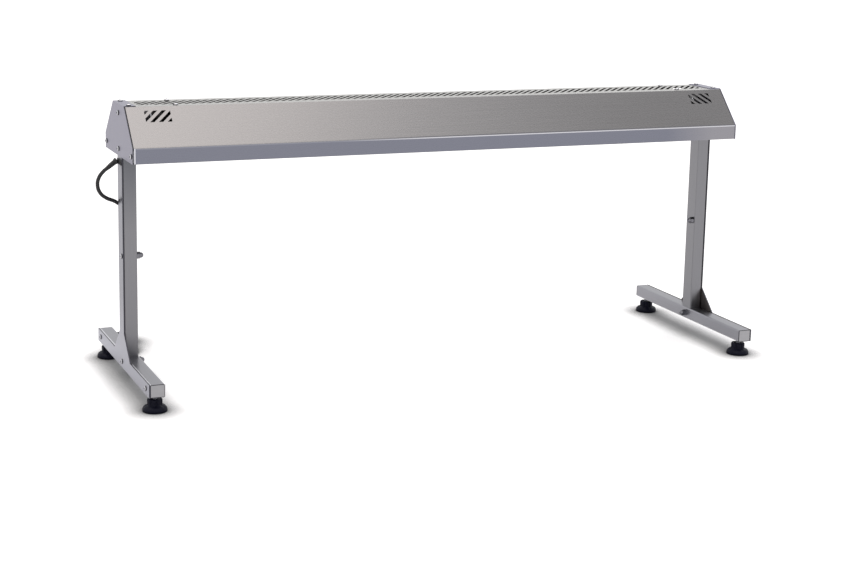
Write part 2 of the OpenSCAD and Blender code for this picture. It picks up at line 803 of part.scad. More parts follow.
// The slot through the left side plate and the post's wall behind it
module cable_slot() {
    translate([-end_inner_x - cut, -slot_w / 2, slot_z - slot_h / 2])
        cube([side_plate_t + tube_t + 2 * cut, slot_w, slot_h]);
}
module post_left() { post(left); }
module post_right() { post(right); }
module side_plate(side) {
    color("gainsboro") difference() {
        translate([side < 0 ? -end_inner_x : plate_x, 0, 0]) rotate([90, 0, 90])
            linear_extrude(side_plate_t) polygon([
                [-rail_half_l, rail_z],
                [rail_half_l, rail_z],
                [rail_half_l, rail_top],
                [half_post_d + gusset_l, rail_top],
                [half_post_d, rail_top + gusset_h],
                [half_post_d, post_top],
                [-half_post_d, post_top],
                [-half_post_d, rail_top + gusset_h],
                [-half_post_d - gusset_l, rail_top],
                [-rail_half_l, rail_top]
            ]);
        outwards(side, plate_x - cut, -post_bolt_y, post_bolt_z)
            cylinder(d = bolt_d + 0.4, h = side_plate_t + 2 * cut);
        outwards(side, plate_x - cut, 0, rail_mid_z)
            cylinder(d = bolt_d + 0.4, h = side_plate_t + 2 * cut);
        for (z = [upper_screw_z, lower_screw_z]) {
            outwards(side, plate_x - cut, 0, z)
                cylinder(d = screw_d + 0.4, h = side_plate_t + 2 * cut);
        }
        for (y = sides) {
            outwards(side, plate_x - cut, y * (rail_half_l - rail_screw_inset), rail_mid_z)
                cylinder(d = screw_d + 0.4, h = side_plate_t + 2 * cut);
        }
        if (side == left) cable_slot();
    }
}
module side_plate_left() { side_plate(left); }
module side_plate_right() { side_plate(right); }
module base_rail(side) {
    color("silver") difference() {
        translate([side * rail_mid_x, rail_half_l - tube_t, rail_mid_z]) rotate([90, 0, 0])
            box_tube(rail_w, rail_h, rail_l - 2 * tube_t);
        outwards(side, rail_x - cut, 0, rail_mid_z)
            cylinder(d = bolt_d + 0.4, h = rail_w + 2 * cut);
        for (y = sides) {
            outwards(side, plate_x - tube_t - cut, y * (rail_half_l - rail_screw_inset), rail_mid_z)
                cylinder(d = screw_d + 0.4, h = tube_t + 2 * cut);
            translate([side * rail_mid_x, y * foot_y, rail_z - cut])
                cylinder(d = insert_d + 0.1, h = tube_t + 2 * cut);
        }
    }
}
module base_rail_left() { base_rail(left); }
module base_rail_right() { base_rail(right); }
module rail_end_caps() {
    color("dimgray") for (x = sides, y = [-rail_half_l + tube_t, rail_half_l]) {
        translate([x * rail_mid_x, y, rail_mid_z]) rotate([90, 0, 0])
            linear_extrude(tube_t) rounded_box(rail_w, rail_h, tube_r);
    }
}

// Feet: a threaded insert in the rail, a stem that turns in it and a pad that the stem carries
module foot_inserts() {
    color("goldenrod") for (x = sides, y = sides) {
        translate([x * rail_mid_x, y * foot_y, rail_z]) difference() {
            union() {
                cylinder(d = insert_d, h = insert_top - rail_z);
                translate([0, 0, tube_t]) cylinder(d = insert_flange_d, h = insert_flange_t);
            }
            translate([0, 0, -cut]) cylinder(d = stem_bore_d, h = insert_top - rail_z + 2 * cut);
        }
    }
}
module foot_pad(x, y) {
    color([0.08, 0.08, 0.09]) translate([x * rail_mid_x, y * foot_y, 0]) difference() {
        rotate_extrude() polygon([
            [0, 0],
            [foot_d / 2 - 1, 0],
            [foot_d / 2, 1],
            [foot_d / 2, foot_rim_h - 1],
            [foot_d / 2 - 1, foot_rim_h],
            [hub_d / 2 + 3, foot_shoulder_z - 3],
            [hub_d / 2, foot_shoulder_z],
            [hub_d / 2 - 1, hub_z - 1],
            [hub_d / 2 - 2, hub_z],
            [0, hub_z]
        ]);
        translate([0, 0, stem_z]) cylinder(d = stem_bore_d, h = hub_z);
    }
}
module foot_stem(x, y) {
    color("lightsteelblue") translate([x * rail_mid_x, y * foot_y, stem_z])
        cylinder(d = stem_d, h = stem_l);
}
module foot_pad_front_left() { foot_pad(left, -1); }
module foot_pad_back_left() { foot_pad(left, 1); }
module foot_pad_front_right() { foot_pad(right, -1); }
module foot_pad_back_right() { foot_pad(right, 1); }
module foot_stem_front_left() { foot_stem(left, -1); }
module foot_stem_back_left() { foot_stem(left, 1); }
module foot_stem_front_right() { foot_stem(right, -1); }
module foot_stem_back_right() { foot_stem(right, 1); }

// Heater: the outline of its arched section, less a margin all round
module arch(margin) {
    intersection() {
        translate([0, arch_z]) circle(arch_r - margin, $fn = 96);
        translate([-heater_half_w + margin, heater_z - cut]) square([
            heater_w - 2 * margin, heater_h + 2 * cut
        ]);
        translate([-heater_w, heater_z]) square([2 * heater_w, heater_h]);
    }
}
// An extruded casing, open below, with ledges over the cover and a bolt rail along its top
module casing(x0, x1) {
    inner_top = heater_top - heater_t;
    rail_bottom = heater_top - bolt_slot_lip - bolt_slot_inner_h - 2;
    difference() {
        translate([x0, 0, 0]) rotate([90, 0, 90]) linear_extrude(x1 - x0) difference() {
            union() {
                difference() {
                    arch(0);
                    arch(heater_t);
                }
                for (y = [-heater_half_w + heater_t - 1, heater_half_w - heater_t - ledge_w]) {
                    translate([y, cover_top]) square([ledge_w + 1, ledge_t]);
                }
                translate([-10, rail_bottom]) square([20, inner_top + 1 - rail_bottom]);
                translate([-16, heater_top - 3]) square([32, 3 + bolt_rail_h]);
            }
            translate([-bolt_slot_w / 2, heater_top - bolt_slot_lip])
                square([bolt_slot_w, bolt_slot_lip + bolt_rail_h + cut]);
            translate([-bolt_slot_inner_w / 2, heater_top - bolt_slot_lip - bolt_slot_inner_h])
                square([bolt_slot_inner_w, bolt_slot_inner_h]);
        }
        translate([x0 - cut, -heater_w, heater_z - cut])
            cube([x1 - x0 + 2 * cut, 2 * heater_w, cut]);
    }
}
module arch_plate(x, t) {
    translate([x, 0, 0]) rotate([90, 0, 90]) linear_extrude(t) arch(0);
}
module lamp_casing() {
    color("lightgray") casing(lamp_x0 + cap_t, lamp_x1 - cap_t);
}
module lamp_cover() {
    color("gainsboro") difference() {
        translate([lamp_x0 + cap_t, -cover_half_w, heater_z])
            cube([lamp_l - 2 * cap_t, 2 * cover_half_w, cover_t]);
        for (x = window_xs) {
            translate([x - window_l / 2, -window_w / 2, heater_z - cut])
                cube([window_l, window_w, cover_t + 2 * cut]);
            for (dx = guard_xs, y = sides) {
                translate([x + dx, y * guard_half_w, heater_z - cut])
                    cylinder(d = guard_d + 0.4, h = cover_t + 2 * cut);
            }
        }
    }
}
module lamp_end_inner() {
    color("silver") difference() {
        arch_plate(lamp_x0, cap_t);
        translate([lamp_x0 - cut, 0, gland_z]) rotate([0, 90, 0])
            cylinder(d = spacer_bore, h = cap_t + 2 * cut);
    }
}
module lamp_end_outer() {
    color("silver") union() {
        arch_plate(lamp_x1 - cap_t, cap_t);
        for (y = sides) {
            translate([lamp_x1, y * 34, heater_z + 12]) rotate([0, 90, 0]) dome_head(7, 2);
        }
    }
}
module spacer_tube() {
    color("gray") translate([control_x1, 0, gland_z]) rotate([0, 90, 0]) difference() {
        cylinder(d = spacer_d, h = section_gap);
        translate([0, 0, -cut]) cylinder(d = spacer_bore, h = section_gap + 2 * cut);
    }
}
module control_casing() {
    color("lightgray") casing(control_x0 + cap_t, control_x1 - cap_t);
}
module control_cover() {
    color("gainsboro") difference() {
        translate([control_x0 + cap_t, -cover_half_w, heater_z])
            cube([control_l - 2 * cap_t, 2 * cover_half_w, cover_t]);
        translate([knob_x, 0, heater_z - cut]) cylinder(d = bush_hole_d, h = cover_t + 2 * cut);
    }
}
module control_end_cap() {
    color("silver") difference() {
        arch_plate(control_x0, cap_t);
        translate([control_x0 - cut, 0, gland_z]) rotate([0, 90, 0])
            cylinder(d = gland_thread_d + 0.1, h = cap_t + 2 * cut);
    }
}
module control_partition() {
    color("silver") difference() {
        arch_plate(control_x1 - cap_t, cap_t);
        translate([control_x1 - cap_t - cut, 0, gland_z]) rotate([0, 90, 0])
            cylinder(d = spacer_bore, h = cap_t + 2 * cut);
    }
}

// Controls
module dial_plate() {
    color("silver") translate([knob_x, 0, dial_z]) difference() {
        cylinder(d = dial_d, h = dial_t, $fn = 96);
        translate([0, 0, -cut]) cylinder(d = bush_hole_d, h = dial_t + 2 * cut);
    }
}
module knob() {
    color([0.07, 0.07, 0.08]) translate([knob_x, 0, knob_z]) difference() {
        union() {
            translate([0, 0, knob_h - knob_skirt_h]) cylinder(d = knob_d, h = knob_skirt_h);
            translate([0, 0, knob_h - knob_skirt_h - 3])
                cylinder(d1 = knob_d - 10, d2 = knob_d - 4, h = 3);
            intersection() {
                cylinder(d = knob_d - 8, h = knob_h);
                translate([-grip_w / 2, -knob_d / 2, 0]) cube([grip_w, knob_d, knob_h - 1]);
            }
        }
        translate([0, 0, shaft_z - knob_z]) cylinder(d = shaft_d, h = knob_h);
        translate([0, 0, knob_h - 2]) cylinder(d = bush_d + 3, h = 2 + cut);
    }
}
module knob_shaft() {
    color("gainsboro") translate([knob_x, 0, shaft_z])
        cylinder(d = shaft_d, h = shaft_top - shaft_z);
}
module rotary_switch() {
    color("ivory") translate([knob_x, 0, 0]) difference() {
        union() {
            translate([-switch_l / 2, -switch_w / 2, cover_top]) cube([switch_l, switch_w, switch_h]);
            translate([0, 0, dial_z]) cylinder(d = bush_d, h = cover_top - dial_z + 1);
        }
        translate([0, 0, dial_z - cut])
            cylinder(d = shaft_d + 2 * shaft_gap, h = shaft_top - dial_z + cut + 0.3);
    }
}
module terminal_block() {
    color("whitesmoke") translate([terminal_x - terminal_l / 2, terminal_y - terminal_w / 2, cover_top])
        cube([terminal_l, terminal_w, terminal_h]);
}
// The wires from the control section run along the reflector's back
module wiring_loom() {
    color("tomato") swept_tube([
        [terminal_x + terminal_l / 2, terminal_y, cover_top + 8],
        [terminal_x + terminal_l / 2 + 4, terminal_y, cover_top + 8],
        [control_x1 - 8, 6, gland_z - 4],
        [control_x1, 3, gland_z],
        [lamp_x0, 3, gland_z],
        [lamp_x0 + 8, 4, gland_z + 2],
        [lamp_x0 + 20, loom_y - 4, loom_z],
        [lamp_x0 + 30, loom_y, loom_z + 0.3],
        [lamp_x1 - 60, loom_y, loom_z + 0.3]
    ], loom_d / 2 - 0.1, 8, [0, 1, 0]);
}

// Lamps
module reflector() {
    outer_r = reflector_r + reflector_t;
    color([0.92, 0.93, 0.95]) translate([lamp_mid_x - reflector_l / 2, 0, 0]) rotate([90, 0, 90])
        linear_extrude(reflector_l) {
            difference() {
                translate([0, reflector_z]) circle(outer_r, $fn = 96);
                translate([0, reflector_z]) circle(reflector_r, $fn = 96);
                translate([-heater_w, reflector_z - heater_w]) square([2 * heater_w, heater_w]);
            }
            for (y = sides) {
                translate([y * (reflector_r + reflector_t / 2) - reflector_t / 2, cover_top])
                    square([reflector_t, reflector_z - cover_top]);
                translate([y > 0 ? reflector_r : -reflector_lip_y, cover_top])
                    square([reflector_lip_y - reflector_r, reflector_t]);
            }
        }
}
module quartz_tube(i) {
    color([0.95, 0.95, 0.98]) translate([window_xs[i] - quartz_l / 2, 0, quartz_z])
        rotate([0, 90, 0]) difference() {
            cylinder(d = quartz_d, h = quartz_l);
            translate([0, 0, -cut])
                cylinder(d = quartz_d - 2 * quartz_t, h = quartz_l + 2 * cut);
        }
}
module quartz_tube_1() { quartz_tube(0); }
module quartz_tube_2() { quartz_tube(1); }
module quartz_tube_3() { quartz_tube(2); }
// Each coil's core, with a ceramic bead at either end that centres it in its tube
module heating_coils() {
    bead_l = 6;
    bead_d = quartz_d - 2 * quartz_t - 0.2;
    color("orange") for (x = window_xs) {
        translate([x - quartz_l / 2, 0, quartz_z]) rotate([0, 90, 0]) {
            cylinder(d = bead_d - 2.4, h = quartz_l);
            cylinder(d = bead_d, h = bead_l);
            translate([0, 0, quartz_l - bead_l]) cylinder(d = bead_d, h = bead_l);
        }
    }
}
module tube_holder(x, l) {
    color("ivory") translate([x, 0, 0]) difference() {
        translate([-l / 2, -holder_w / 2, cover_top])
            cube([l, holder_w, quartz_z + quartz_d / 2 + 5 - cover_top]);
        translate([-l / 2 - cut, 0, quartz_z]) rotate([0, 90, 0])
            cylinder(d = quartz_d + 2 * holder_gap, h = l + 2 * cut);
    }
}
module tube_holders() {
    for (i = [0, 1]) {
        tube_holder((window_xs[i] + window_xs[i + 1]) / 2, holder_gap_l);
    }
    tube_holder(window_xs[0] - window_l / 2 - 2 - holder_end_l / 2, holder_end_l);
    tube_holder(window_xs[2] + window_l / 2 + 2 + holder_end_l / 2, holder_end_l);
}
// A guard: three bowed wires hooked through the cover, and two straight ones laid over them
module wire_guard(x) {
    arc_angle = 2 * asin(guard_half_w / guard_arc_r);
    arc_z = guard_wire_z + guard_arc_r - guard_bow;
    long_z = arc_z - sqrt(guard_arc_r * guard_arc_r - guard_long_y * guard_long_y) + guard_d * 0.7;
    color("darkslategray") union() {
        for (dx = guard_xs) {
            translate([x + dx, 0, arc_z]) rotate([90, 0, 90]) rotate([0, 0, -90 - arc_angle / 2])
                rotate_extrude(angle = arc_angle, $fn = 96)
                    translate([guard_arc_r, 0]) circle(d = guard_d, $fn = 16);
            for (y = sides) {
                translate([x + dx, y * guard_half_w, guard_wire_z]) {
                    sphere(d = 1.3 * guard_d, $fn = 24);
                    cylinder(d = guard_d, h = guard_post_l, $fn = 24);
                }
            }
        }
        for (y = sides) {
            translate([x - window_l / 2 + 4, y * guard_long_y, long_z]) rotate([0, 90, 0])
                cylinder(d = guard_d, h = window_l - 8, $fn = 16);
        }
    }
}
module wire_guards() {
    for (x = window_xs) wire_guard(x);
}

// Hangers: hat-shaped straps between the hood's top and the heater's bolt rail
module hangers() {
    wall_h = hanger_flange_z - hanger_base_z;
    color([0.1, 0.1, 0.11]) for (x = sides) {
        difference() {
            translate([x * hanger_x - hanger_l / 2, 0, 0]) rotate([90, 0, 90])
                linear_extrude(hanger_l) union() {
                    translate([-hanger_half_w, hanger_base_z]) square([2 * hanger_half_w, hanger_t]);
                    for (y = sides) {
                        translate([y > 0 ? hanger_half_w - hanger_t : -hanger_half_w, hanger_base_z])
                            square([hanger_t, wall_h + hanger_t]);
                        translate([y > 0 ? hanger_half_w - hanger_t : -hanger_reach, hanger_flange_z])
                            square([hanger_reach - hanger_half_w + hanger_t, hanger_t]);
                    }
                }
            for (y = sides) {
                translate([x * hanger_x, y * top_screw_y, hanger_flange_z - cut])
                    cylinder(d = screw_d + 0.4, h = hanger_t + 2 * cut);
            }
            translate([x * hanger_x, 0, hanger_base_z - cut])
                cylinder(d = screw_d + 0.4, h = hanger_t + 2 * cut);
        }
    }
}
// A square-headed bolt in the heater's bolt rail, with a nut on the hanger
module hanger_bolts() {
    head_z = heater_top - bolt_slot_lip - bolt_slot_inner_h;
    color("whitesmoke") for (x = sides) {
        translate([x * hanger_x, 0, 0]) {
            translate([-bolt_head_w / 2, -bolt_head_w / 2, head_z])
                cube([bolt_head_w, bolt_head_w, bolt_slot_inner_h]);
            translate([0, 0, head_z])
                cylinder(d = screw_d, h = hanger_base_z + hanger_t + 7 - head_z);
            translate([0, 0, hanger_base_z + hanger_t])
                cylinder(d = 10 / cos(30), h = 5, $fn = 6);
        }
    }
}

// Supply
module cable_gland() {
    color([0.12, 0.12, 0.13]) translate([gland_x, 0, gland_z]) rotate([0, -90, 0]) difference() {
        union() {
            translate([0, 0, -cap_t - gland_inner_l])
                cylinder(d = gland_thread_d, h = cap_t + gland_inner_l + 1);
            cylinder(d = gland_d / cos(30), h = 6, $fn = 6);
            translate([0, 0, 6]) cylinder(d1 = gland_d, d2 = gland_d - 4, h = gland_l - 6);
            translate([0, 0, -cap_t - gland_inner_l + 1])
                cylinder(d = (gland_d + 2) / cos(30), h = gland_inner_l - 1, $fn = 6);
        }
        translate([0, 0, -cap_t - gland_inner_l - cut])
            cylinder(d = cord_d + 0.3, h = gland_l + cap_t + gland_inner_l + 2 * cut);
    }
}
module supply_cord() {
    color([0.06, 0.06, 0.06]) swept_tube(inner_route, cord_r, 10, [0, 1, 0]);
}
// A rubber bar in the cable slot with a lip that lies on the side plate
module cord_grommet() {
    inner_l = side_plate_t + tube_t + 3;
    color([0.09, 0.09, 0.09]) difference() {
        union() {
            translate([-end_inner_x - end_plate_t, -grommet_lip_d / 2, slot_z - grommet_lip_h / 2])
                cube([end_plate_t, grommet_lip_d, grommet_lip_h]);
            translate([-end_inner_x - 0.1, -slot_w / 2 + 0.1, slot_z - slot_h / 2 + 0.1])
                cube([inner_l, slot_w - 0.2, slot_h - 0.2]);
        }
        translate([-half_l - cut, cord_y, slot_z]) rotate([0, 90, 0])
            cylinder(d = relief_neck_d - 2 + 0.1, h = inner_l + end_plate_t + 2 * cut);
    }
}
module strain_relief() {
    color([0.07, 0.07, 0.07]) union() {
        translate([exit_x, cord_y, slot_z]) rotate([0, 90, 0])
            cylinder(d = relief_neck_d - 2, h = neck_in_x - exit_x);
        translate([exit_x - relief_flange_l, cord_y, slot_z]) rotate([0, 90, 0])
            cylinder(d = relief_flange_d, h = relief_flange_l);
        intersection() {
            translate(relief_root) rotate([0, -90 - relief_pitch, 0])
                cylinder(d1 = relief_root_d, d2 = relief_tip_d, h = relief_l);
            translate([exit_x - 2 * relief_l, cord_y - relief_l, slot_z - 2 * relief_l])
                cube([2 * relief_l, 2 * relief_l, 4 * relief_l]);
        }
    }
}
module cord() {
    color([0.06, 0.06, 0.06]) swept_tube(cord_route, cord_r, 8, [1, 0, 0]);
}
module on_hank() {
    translate(hank_mid) rotate([0, 0, -hank_turn]) children();
}
module cord_hank() {
    color([0.06, 0.06, 0.06]) on_hank() swept_tube(hank_path, cord_r, 6, [0, 0, 1]);
}
// The strap round the hank's waist, higher where the loops' climbing runs lie
module hank_tie() {
    half_w = run_w(tie_l / 2) + cord_r + tie_gap;
    low_z = layer_z(hank_loops - 1) + hank_lift + cord_r + tie_gap;
    high_z = low_z + hank_step * 0.75;
    bottom_z = lifted(tie_l / 2) - tie_gap / 2;
    color("dimgray") on_hank() translate([0, tie_l / 2, 0]) rotate([90, 0, 0])
        linear_extrude(tie_l) difference() {
            polygon([
                [-half_w - tie_t, bottom_z - tie_t], [half_w + tie_t, bottom_z - tie_t],
                [half_w + tie_t, low_z + tie_t], [0, low_z + tie_t],
                [-hank_waist, high_z + tie_t], [-half_w - tie_t, high_z + tie_t]
            ]);
            polygon([
                [-half_w, bottom_z], [half_w, bottom_z],
                [half_w, low_z], [0.3, low_z],
                [-hank_waist + 0.3, high_z], [-half_w, high_z]
            ]);
        }
}
module on_plug() {
    on_hank() translate([plug_w, plug_s, plug_axis_z]) rotate([-90, 0, 0]) children();
}
module plug() {
    color([0.07, 0.07, 0.07]) on_plug() difference() {
        rotate_extrude() polygon([
            [0, 0],
            [cord_r + 1, 0],
            [cord_r + 2.5, plug_relief_l],
            [cord_r + 7, plug_relief_l + 2],
            [plug_d / 2 - 2, plug_relief_l + plug_handle_l - 3],
            [plug_d / 2, plug_relief_l + plug_handle_l],
            [plug_d / 2, plug_l - 1],
            [plug_d / 2 - 1, plug_l],
            [0, plug_l]
        ]);
        for (x = sides) {
            translate([x * plug_pin_pitch / 2, 0, plug_l - plug_pin_seat])
                cylinder(d = plug_pin_d + 0.1, h = plug_pin_seat + cut);
            translate([-plug_d / 2, x * (plug_d / 2 - 1.5) - 1.5, plug_l - 10])
                cube([plug_d, 3, 12]);
        }
    }
}
module plug_pins() {
    color("lightgray") on_plug() for (x = sides) {
        translate([x * plug_pin_pitch / 2, 0, plug_l - plug_pin_seat]) union() {
            cylinder(d = plug_pin_d, h = plug_pin_seat + plug_pin_l - 2);
            translate([0, 0, plug_pin_seat + plug_pin_l - 2])
                cylinder(d1 = plug_pin_d, d2 = plug_pin_d - 2, h = 2);
        }
    }
}

canopy();
canopy_lips();
end_plate_left();
end_plate_right();
corner_angles();
top_screws();
end_plate_screws();
clinch_nuts();
post_left();
post_right();
side_plate_left();
side_plate_right();
base_rail_left();
base_rail_right();
rail_end_caps();
rail_screws();
through_bolts();
dome_nuts();
foot_inserts();
foot_pad_front_left();
foot_pad_back_left();
foot_pad_front_right();
foot_pad_back_right();
foot_stem_front_left();
foot_stem_back_left();
foot_stem_front_right();
foot_stem_back_right();
lamp_casing();
lamp_cover();
lamp_end_inner();
lamp_end_outer();
control_casing();
control_cover();
control_end_cap();
control_partition();
spacer_tube();
dial_plate();
knob();
knob_shaft();
rotary_switch();
terminal_block();
wiring_loom();
reflector();
quartz_tube_1();
quartz_tube_2();
quartz_tube_3();
heating_coils();
tube_holders();
wire_guards();
hangers();
hanger_bolts();
cable_gland();
supply_cord();
cord_grommet();
strain_relief();
cord();
cord_hank();
hank_tie();
plug();
plug_pins();
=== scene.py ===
import math

import bmesh
import bpy
from mathutils import Matrix, Vector


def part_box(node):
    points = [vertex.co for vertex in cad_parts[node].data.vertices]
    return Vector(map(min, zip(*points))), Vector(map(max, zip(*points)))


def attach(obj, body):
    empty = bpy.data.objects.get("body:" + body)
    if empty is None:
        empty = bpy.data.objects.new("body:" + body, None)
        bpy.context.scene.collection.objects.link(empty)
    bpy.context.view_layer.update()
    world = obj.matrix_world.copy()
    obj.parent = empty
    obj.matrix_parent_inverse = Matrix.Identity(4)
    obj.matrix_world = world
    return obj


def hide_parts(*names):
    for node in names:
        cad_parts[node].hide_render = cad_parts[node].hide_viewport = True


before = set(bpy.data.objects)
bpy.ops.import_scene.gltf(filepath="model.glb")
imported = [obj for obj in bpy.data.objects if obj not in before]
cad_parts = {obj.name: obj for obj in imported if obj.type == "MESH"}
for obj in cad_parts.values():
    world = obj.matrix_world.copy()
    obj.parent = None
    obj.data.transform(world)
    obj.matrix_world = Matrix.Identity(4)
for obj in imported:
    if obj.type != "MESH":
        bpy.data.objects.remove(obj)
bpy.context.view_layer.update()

# Levelling feet
# A glass-filled nylon pad with a fluted hub that fingers can turn, moulded round a threaded steel
# stem. The stem screws into a brass insert in the base rail.
mm = 0.001
feet = ("front_left", "back_left", "front_right", "back_right")
rim_r = 25 * mm
rim_z = 4.2 * mm
dome_w = 12 * mm
dome_h = 9.2 * mm
hub_z = 26.5 * mm
flutes = 8
flute_depth = 2.4 * mm
flute_r = 12 * mm
flute_z = 7 * mm
flute_fade = 8 * mm
stem_low = 8 * mm
stem_high = 51.5 * mm
stem_r = 5 * mm
thread_pitch = 1.5 * mm
thread_wire_r = 0.75 * mm
thread_low = stem_low + 0.6 * mm
thread_l = stem_high - stem_low - 2.2 * mm


def link(name, data):
    """An object with this data, linked into the scene."""
    made = bpy.data.objects.new(name, data)
    bpy.context.scene.collection.objects.link(made)
    return made


def linear(tone):
    """An sRGB hex value such as 8a8d90 as linear red, green, blue and alpha."""
    parts = [int(tone[i:i + 2], 16) / 255 for i in (0, 2, 4)]
    return [c / 12.92 if c <= 0.04045 else ((c + 0.055) / 1.055) ** 2.4 for c in parts] + [1]


def add_node(tree, kind, inputs=None, **settings):
    """A node with its settings. Each input takes a value, or another node's socket to link."""
    node = tree.nodes.new(kind)
    for name, value in settings.items():
        setattr(node, name, value)
    for key, value in (inputs or {}).items():
        if isinstance(value, bpy.types.NodeSocket):
            tree.links.new(value, node.inputs[key])
        else:
            node.inputs[key].default_value = value
    return node


def patterned(name, tone, other_tone, roughness, metallic=0.0, rough_spread=0.08, spot=5 * mm,
              stretch=(1, 1, 1), detail=3.0, depth=0.0, **constants):
    """A material whose tone, roughness and height follow one noise in object coordinates. Its spots
    are spot metres across and stretch times longer along each axis. Constants go on the shader."""
    material = bpy.data.materials.new(name)
    material.use_nodes = True
    tree = material.node_tree
    shader = tree.nodes["Principled BSDF"]
    shader.inputs["Metallic"].default_value = metallic
    for key, value in constants.items():
        shader.inputs[key.replace("_", " ")].default_value = value
    coords = add_node(tree, "ShaderNodeTexCoord")
    scaled = add_node(tree, "ShaderNodeMapping", {
        "Vector": coords.outputs["Object"], "Scale": [1 / (spot * s) for s in stretch],
    })
    noise = add_node(tree, "ShaderNodeTexNoise", {
        "Vector": scaled.outputs[0], "Scale": 1.0, "Detail": detail, "Roughness": 0.55,
    })
    share = add_node(tree, "ShaderNodeMapRange", {
        "Value": noise.outputs[0], "From Min": 0.3, "From Max": 0.7,
    })
    colour = add_node(tree, "ShaderNodeMix", {
        0: share.outputs[0], 6: linear(tone), 7: linear(other_tone),
    }, data_type="RGBA")
    tree.links.new(colour.outputs[2], shader.inputs["Base Color"])
    gloss = add_node(tree, "ShaderNodeMapRange", {
        "Value": share.outputs[0],
        "To Min": roughness - rough_spread / 2, "To Max": roughness + rough_spread / 2,
    })
    tree.links.new(gloss.outputs[0], shader.inputs["Roughness"])
    if depth:
        bump = add_node(tree, "ShaderNodeBump", {"Height": noise.outputs[0], "Distance": depth})
        tree.links.new(bump.outputs[0], shader.inputs["Normal"])
    return material


def shell_mesh(name, shell):
    """A mesh from a bmesh, which it frees."""
    mesh = bpy.data.meshes.new(name)
    shell.to_mesh(mesh)
    shell.free()
    return mesh


def turned(name, profile, segments=48, reshape=None):
    """A closed mesh turned about Z from (radius, height) pairs. reshape alters a point's radius."""
    shell = bmesh.new()
    rings = []
    for radius, height in profile:
        if radius == 0:
            rings.append([shell.verts.new((0, 0, height))])
            continue
        ring = []
        for i in range(segments):
            turn = 2 * math.pi * i / segments
            r = reshape(radius, height, turn) if reshape else radius
            ring.append(shell.verts.new((r * math.cos(turn), r * math.sin(turn), height)))
        rings.append(ring)
    for low, high in zip(rings, rings[1:]):
        for i in range(segments):
            j = (i + 1) % segments
            corners = [
                low[i % len(low)], low[j % len(low)], high[j % len(high)], high[i % len(high)],
            ]
            shell.faces.new(list(dict.fromkeys(corners)))
    bmesh.ops.recalc_face_normals(shell, faces=shell.faces)
    return shell_mesh(name, shell)


def soften(mesh, angle=35):
    """Smooth shading, kept sharp at edges steeper than angle degrees."""
    mesh.polygons.foreach_set("use_smooth", [True] * len(mesh.polygons))
    mesh.set_sharp_from_angle(angle=math.radians(angle))


def dress(material, *nodes):
    """Gives CAD nodes a finish in place of their own."""
    for node in nodes:
        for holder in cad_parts[node].material_slots:
            holder.material = material


def foot_outline():
    """Rim, dome, shoulder and hub of a pad, from the ground up."""
    points = [
        (0, 0), (22.5 * mm, 0), (24.2 * mm, 0.4 * mm), (rim_r, 1.6 * mm), (rim_r, rim_z),
    ]
    for i in range(1, 9):
        turn = math.radians(9.5 * i)
        points.append((
            rim_r - dome_w + dome_w * math.cos(turn), rim_z + dome_h * math.sin(turn),
        ))
    return points + [
        (15.2 * mm, 14.2 * mm), (15.0 * mm, 16.0 * mm), (15.4 * mm, 20.0 * mm),
        (15.3 * mm, 24.0 * mm), (14.6 * mm, 25.6 * mm), (13.2 * mm, hub_z), (7.5 * mm, hub_z),
        (6.8 * mm, hub_z - 1.2 * mm), (0, hub_z - 1.2 * mm),
    ]


def foot_flutes(radius, height, turn):
    """Finger grooves down the hub, which run out on the dome."""
    if radius < flute_r or height < flute_z:
        return radius
    depth = flute_depth * min(1, (height - flute_z) / flute_fade)
    return radius - depth * max(0, math.cos(flutes * turn)) ** 1.5


def new_tree(name, sizes):
    """A geometry tree with its named inputs, and the sockets of its input node."""
    tree = bpy.data.node_groups.new(name, "GeometryNodeTree")
    tree.interface.new_socket("Geometry", in_out="INPUT", socket_type="NodeSocketGeometry")
    for label, kind in sizes.items():
        tree.interface.new_socket(label, in_out="INPUT", socket_type="NodeSocket" + kind)
    tree.interface.new_socket("Geometry", in_out="OUTPUT", socket_type="NodeSocketGeometry")
    return tree, add_node(tree, "NodeGroupInput").outputs


def end_tree(tree, shape, finish):
    """Realize Instances, Set Material and the output close every tree."""
    real = add_node(tree, "GeometryNodeRealizeInstances", {"Geometry": shape})
    dressed = add_node(tree, "GeometryNodeSetMaterial", {
        "Geometry": real.outputs[0], "Material": finish,
    })
    add_node(tree, "NodeGroupOutput", {"Geometry": dressed.outputs[0]})


def grown(name, mesh, tree, values):
    """A plain mesh object from a geometry tree run on mesh with these input values."""
    made = link(name, mesh)
    growth = made.modifiers.new("growth", "NODES")
    growth.node_group = tree
    keys = {
        item.name: item.identifier
        for item in tree.interface.items_tree if item.in_out == "INPUT"
    }
    for label, value in values.items():
        growth[keys[label]] = value
    ready = made.evaluated_get(bpy.context.evaluated_depsgraph_get())
    plain = bpy.data.meshes.new_from_object(ready)
    plain.name = name
    made.modifiers.clear()
    made.data = plain
    return made


